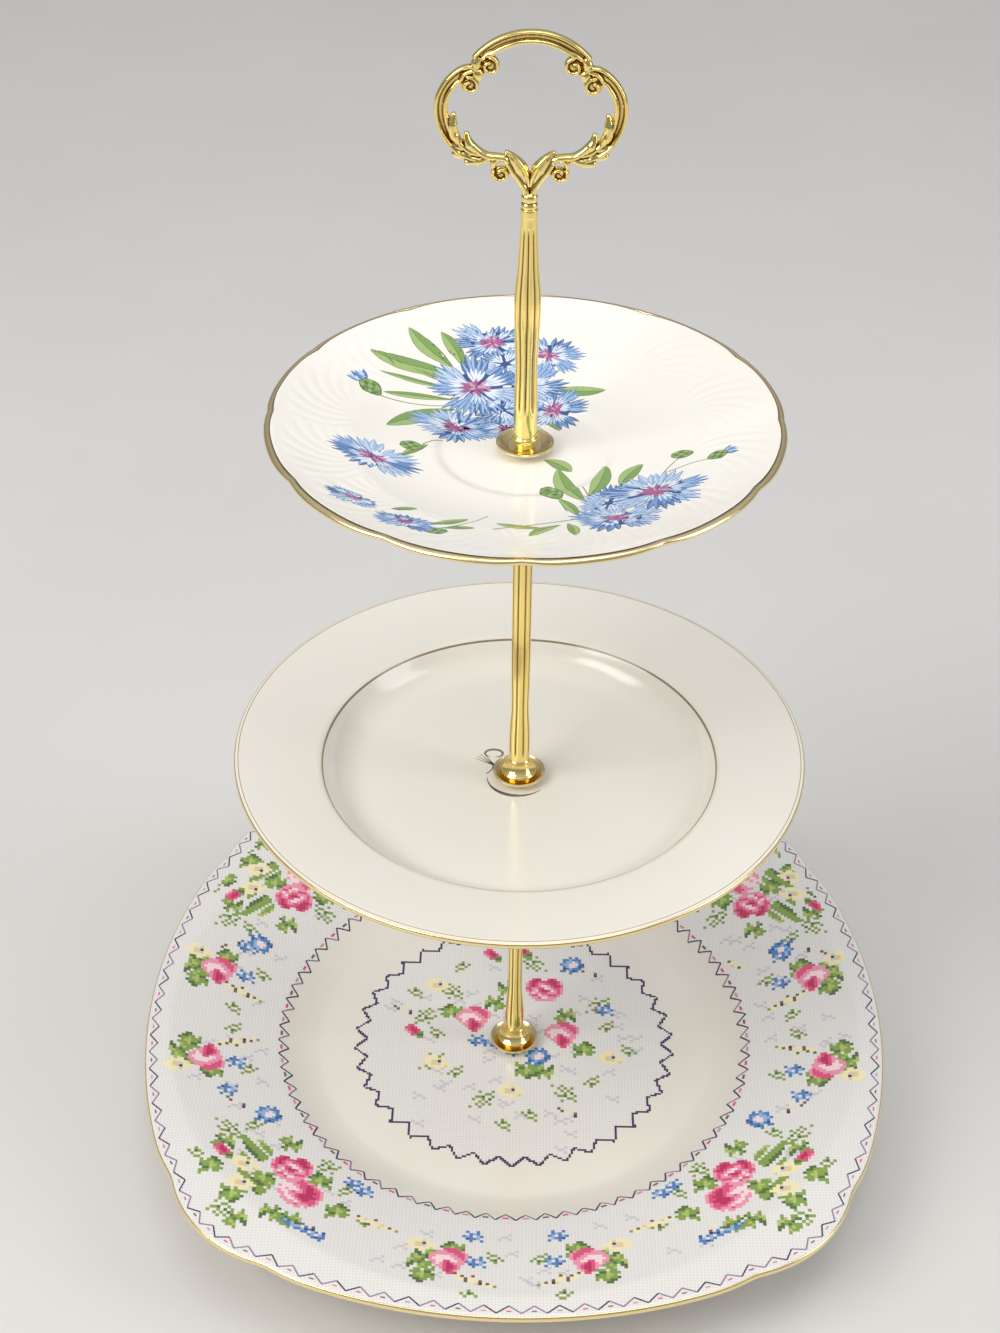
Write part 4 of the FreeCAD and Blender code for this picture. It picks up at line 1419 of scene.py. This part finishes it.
for tier in ("bottom", "middle", "top"):
    for piece, material in (("dish_washer", gilt_washer), ("under_washer", gilt_washer),
                            ("upper_gasket", gasket_plastic), ("lower_gasket", gasket_plastic)):
        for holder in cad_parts[f"{tier}_{piece}"].material_slots:
            holder.material = material


# Stage -----------------------------------------------------------------------------------

def floor():
    made = Material("floor")
    tone = made.mix(made.noise(300), linear((226, 224, 220)), linear((214, 211, 206)))
    made.drive("Base Color", tone)
    made.drive("Roughness", made.range(made.noise(40), 0.3, 0.7, 0.55, 0.7))
    reach = 9000.0
    corners = [(-reach, -reach, 0), (reach, -reach, 0), (reach, reach, 0), (-reach, reach, 0)]
    add_mesh("floor", corners, [[0, 1, 2, 3]], [made.material])


def soft_light(name, place, aim, size, power, colour):
    lamp = bpy.data.lights.new(name, "AREA")
    lamp.shape = "RECTANGLE"
    lamp.size, lamp.size_y = size
    lamp.energy = power
    lamp.color = colour
    made = bpy.data.objects.new(name, lamp)
    made.location = place
    made.rotation_euler = (Vector(aim) - Vector(place)).to_track_quat("-Z", "Y").to_euler()
    bpy.context.scene.collection.objects.link(made)


# The sky's colour at the horizon, part of the way up and near the top, and its strength.
HORIZON, PART_WAY, OVERHEAD = (0.36, 0.36, 0.39, 1), (0.55, 0.56, 0.6, 1), (0.95, 0.96, 1.0, 1)
SKY_STRENGTH = 0.6


def studio():
    """Large soft lamps to the sides and above, clear of what the plates mirror to the camera,
    and a sky that is brightest overhead and darker towards the horizon."""
    soft_light("key", (-1.1, -0.7, 1.3), (0, 0, 0.18), (1.1, 0.9), 17, (1.0, 0.98, 0.95))
    soft_light("fill", (1.4, -0.3, 0.9), (0, 0, 0.18), (0.6, 1.1), 7, (0.96, 0.98, 1.0))
    soft_light("top", (0.2, -0.3, 2.2), (0, 0, 0.2), (1.4, 1.0), 9, (1.0, 1.0, 1.0))
    world = bpy.data.worlds.new("studio")
    world.use_nodes = True
    nodes, links = world.node_tree.nodes, world.node_tree.links
    spot = nodes.new("ShaderNodeTexCoord")
    split = nodes.new("ShaderNodeSeparateXYZ")
    ramp = nodes.new("ShaderNodeValToRGB")
    links.new(spot.outputs["Generated"], split.inputs["Vector"])
    links.new(split.outputs["Z"], ramp.inputs["Fac"])
    links.new(ramp.outputs["Color"], nodes["Background"].inputs["Color"])
    stops = ramp.color_ramp.elements
    stops[0].position, stops[0].color = 0.0, HORIZON
    stops[1].position, stops[1].color = 0.9, OVERHEAD
    stops.new(0.45).color = PART_WAY
    nodes["Background"].inputs["Strength"].default_value = SKY_STRENGTH
    bpy.context.scene.world = world
    bpy.context.scene.view_settings.view_transform = "Standard"


# The photograph's view, solved from the outlines of the three plates: where the camera stands
# in metres, how far it turns, looks down and leans in degrees, and its lens in millimetres.
CAMERA_PLACE = (0, -0.53136, 0.5862)
YAW_PITCH_ROLL = (-0.702, 37.225, 0.634)
LENS, SENSOR = 57.68, 36.0


def camera():
    """Looks down on the stand from in front, with the photograph's lens."""
    yaw, pitch, roll = (math.radians(angle) for angle in YAW_PITCH_ROLL)
    forward = Vector((math.sin(yaw) * math.cos(pitch), math.cos(yaw) * math.cos(pitch),
                      -math.sin(pitch)))
    side = forward.cross(Vector((0, 0, 1))).normalized()
    up = side.cross(forward)
    right = side * math.cos(roll) + up * math.sin(roll)
    above = up * math.cos(roll) - side * math.sin(roll)
    lens = bpy.data.cameras.new("camera")
    lens.lens = LENS
    lens.sensor_width = SENSOR
    made = bpy.data.objects.new("camera", lens)
    made.matrix_world = Matrix((right, above, -forward)).transposed().to_4x4()
    made.location = CAMERA_PLACE
    bpy.context.scene.collection.objects.link(made)
    bpy.context.scene.camera = made


floor()
studio()
camera()
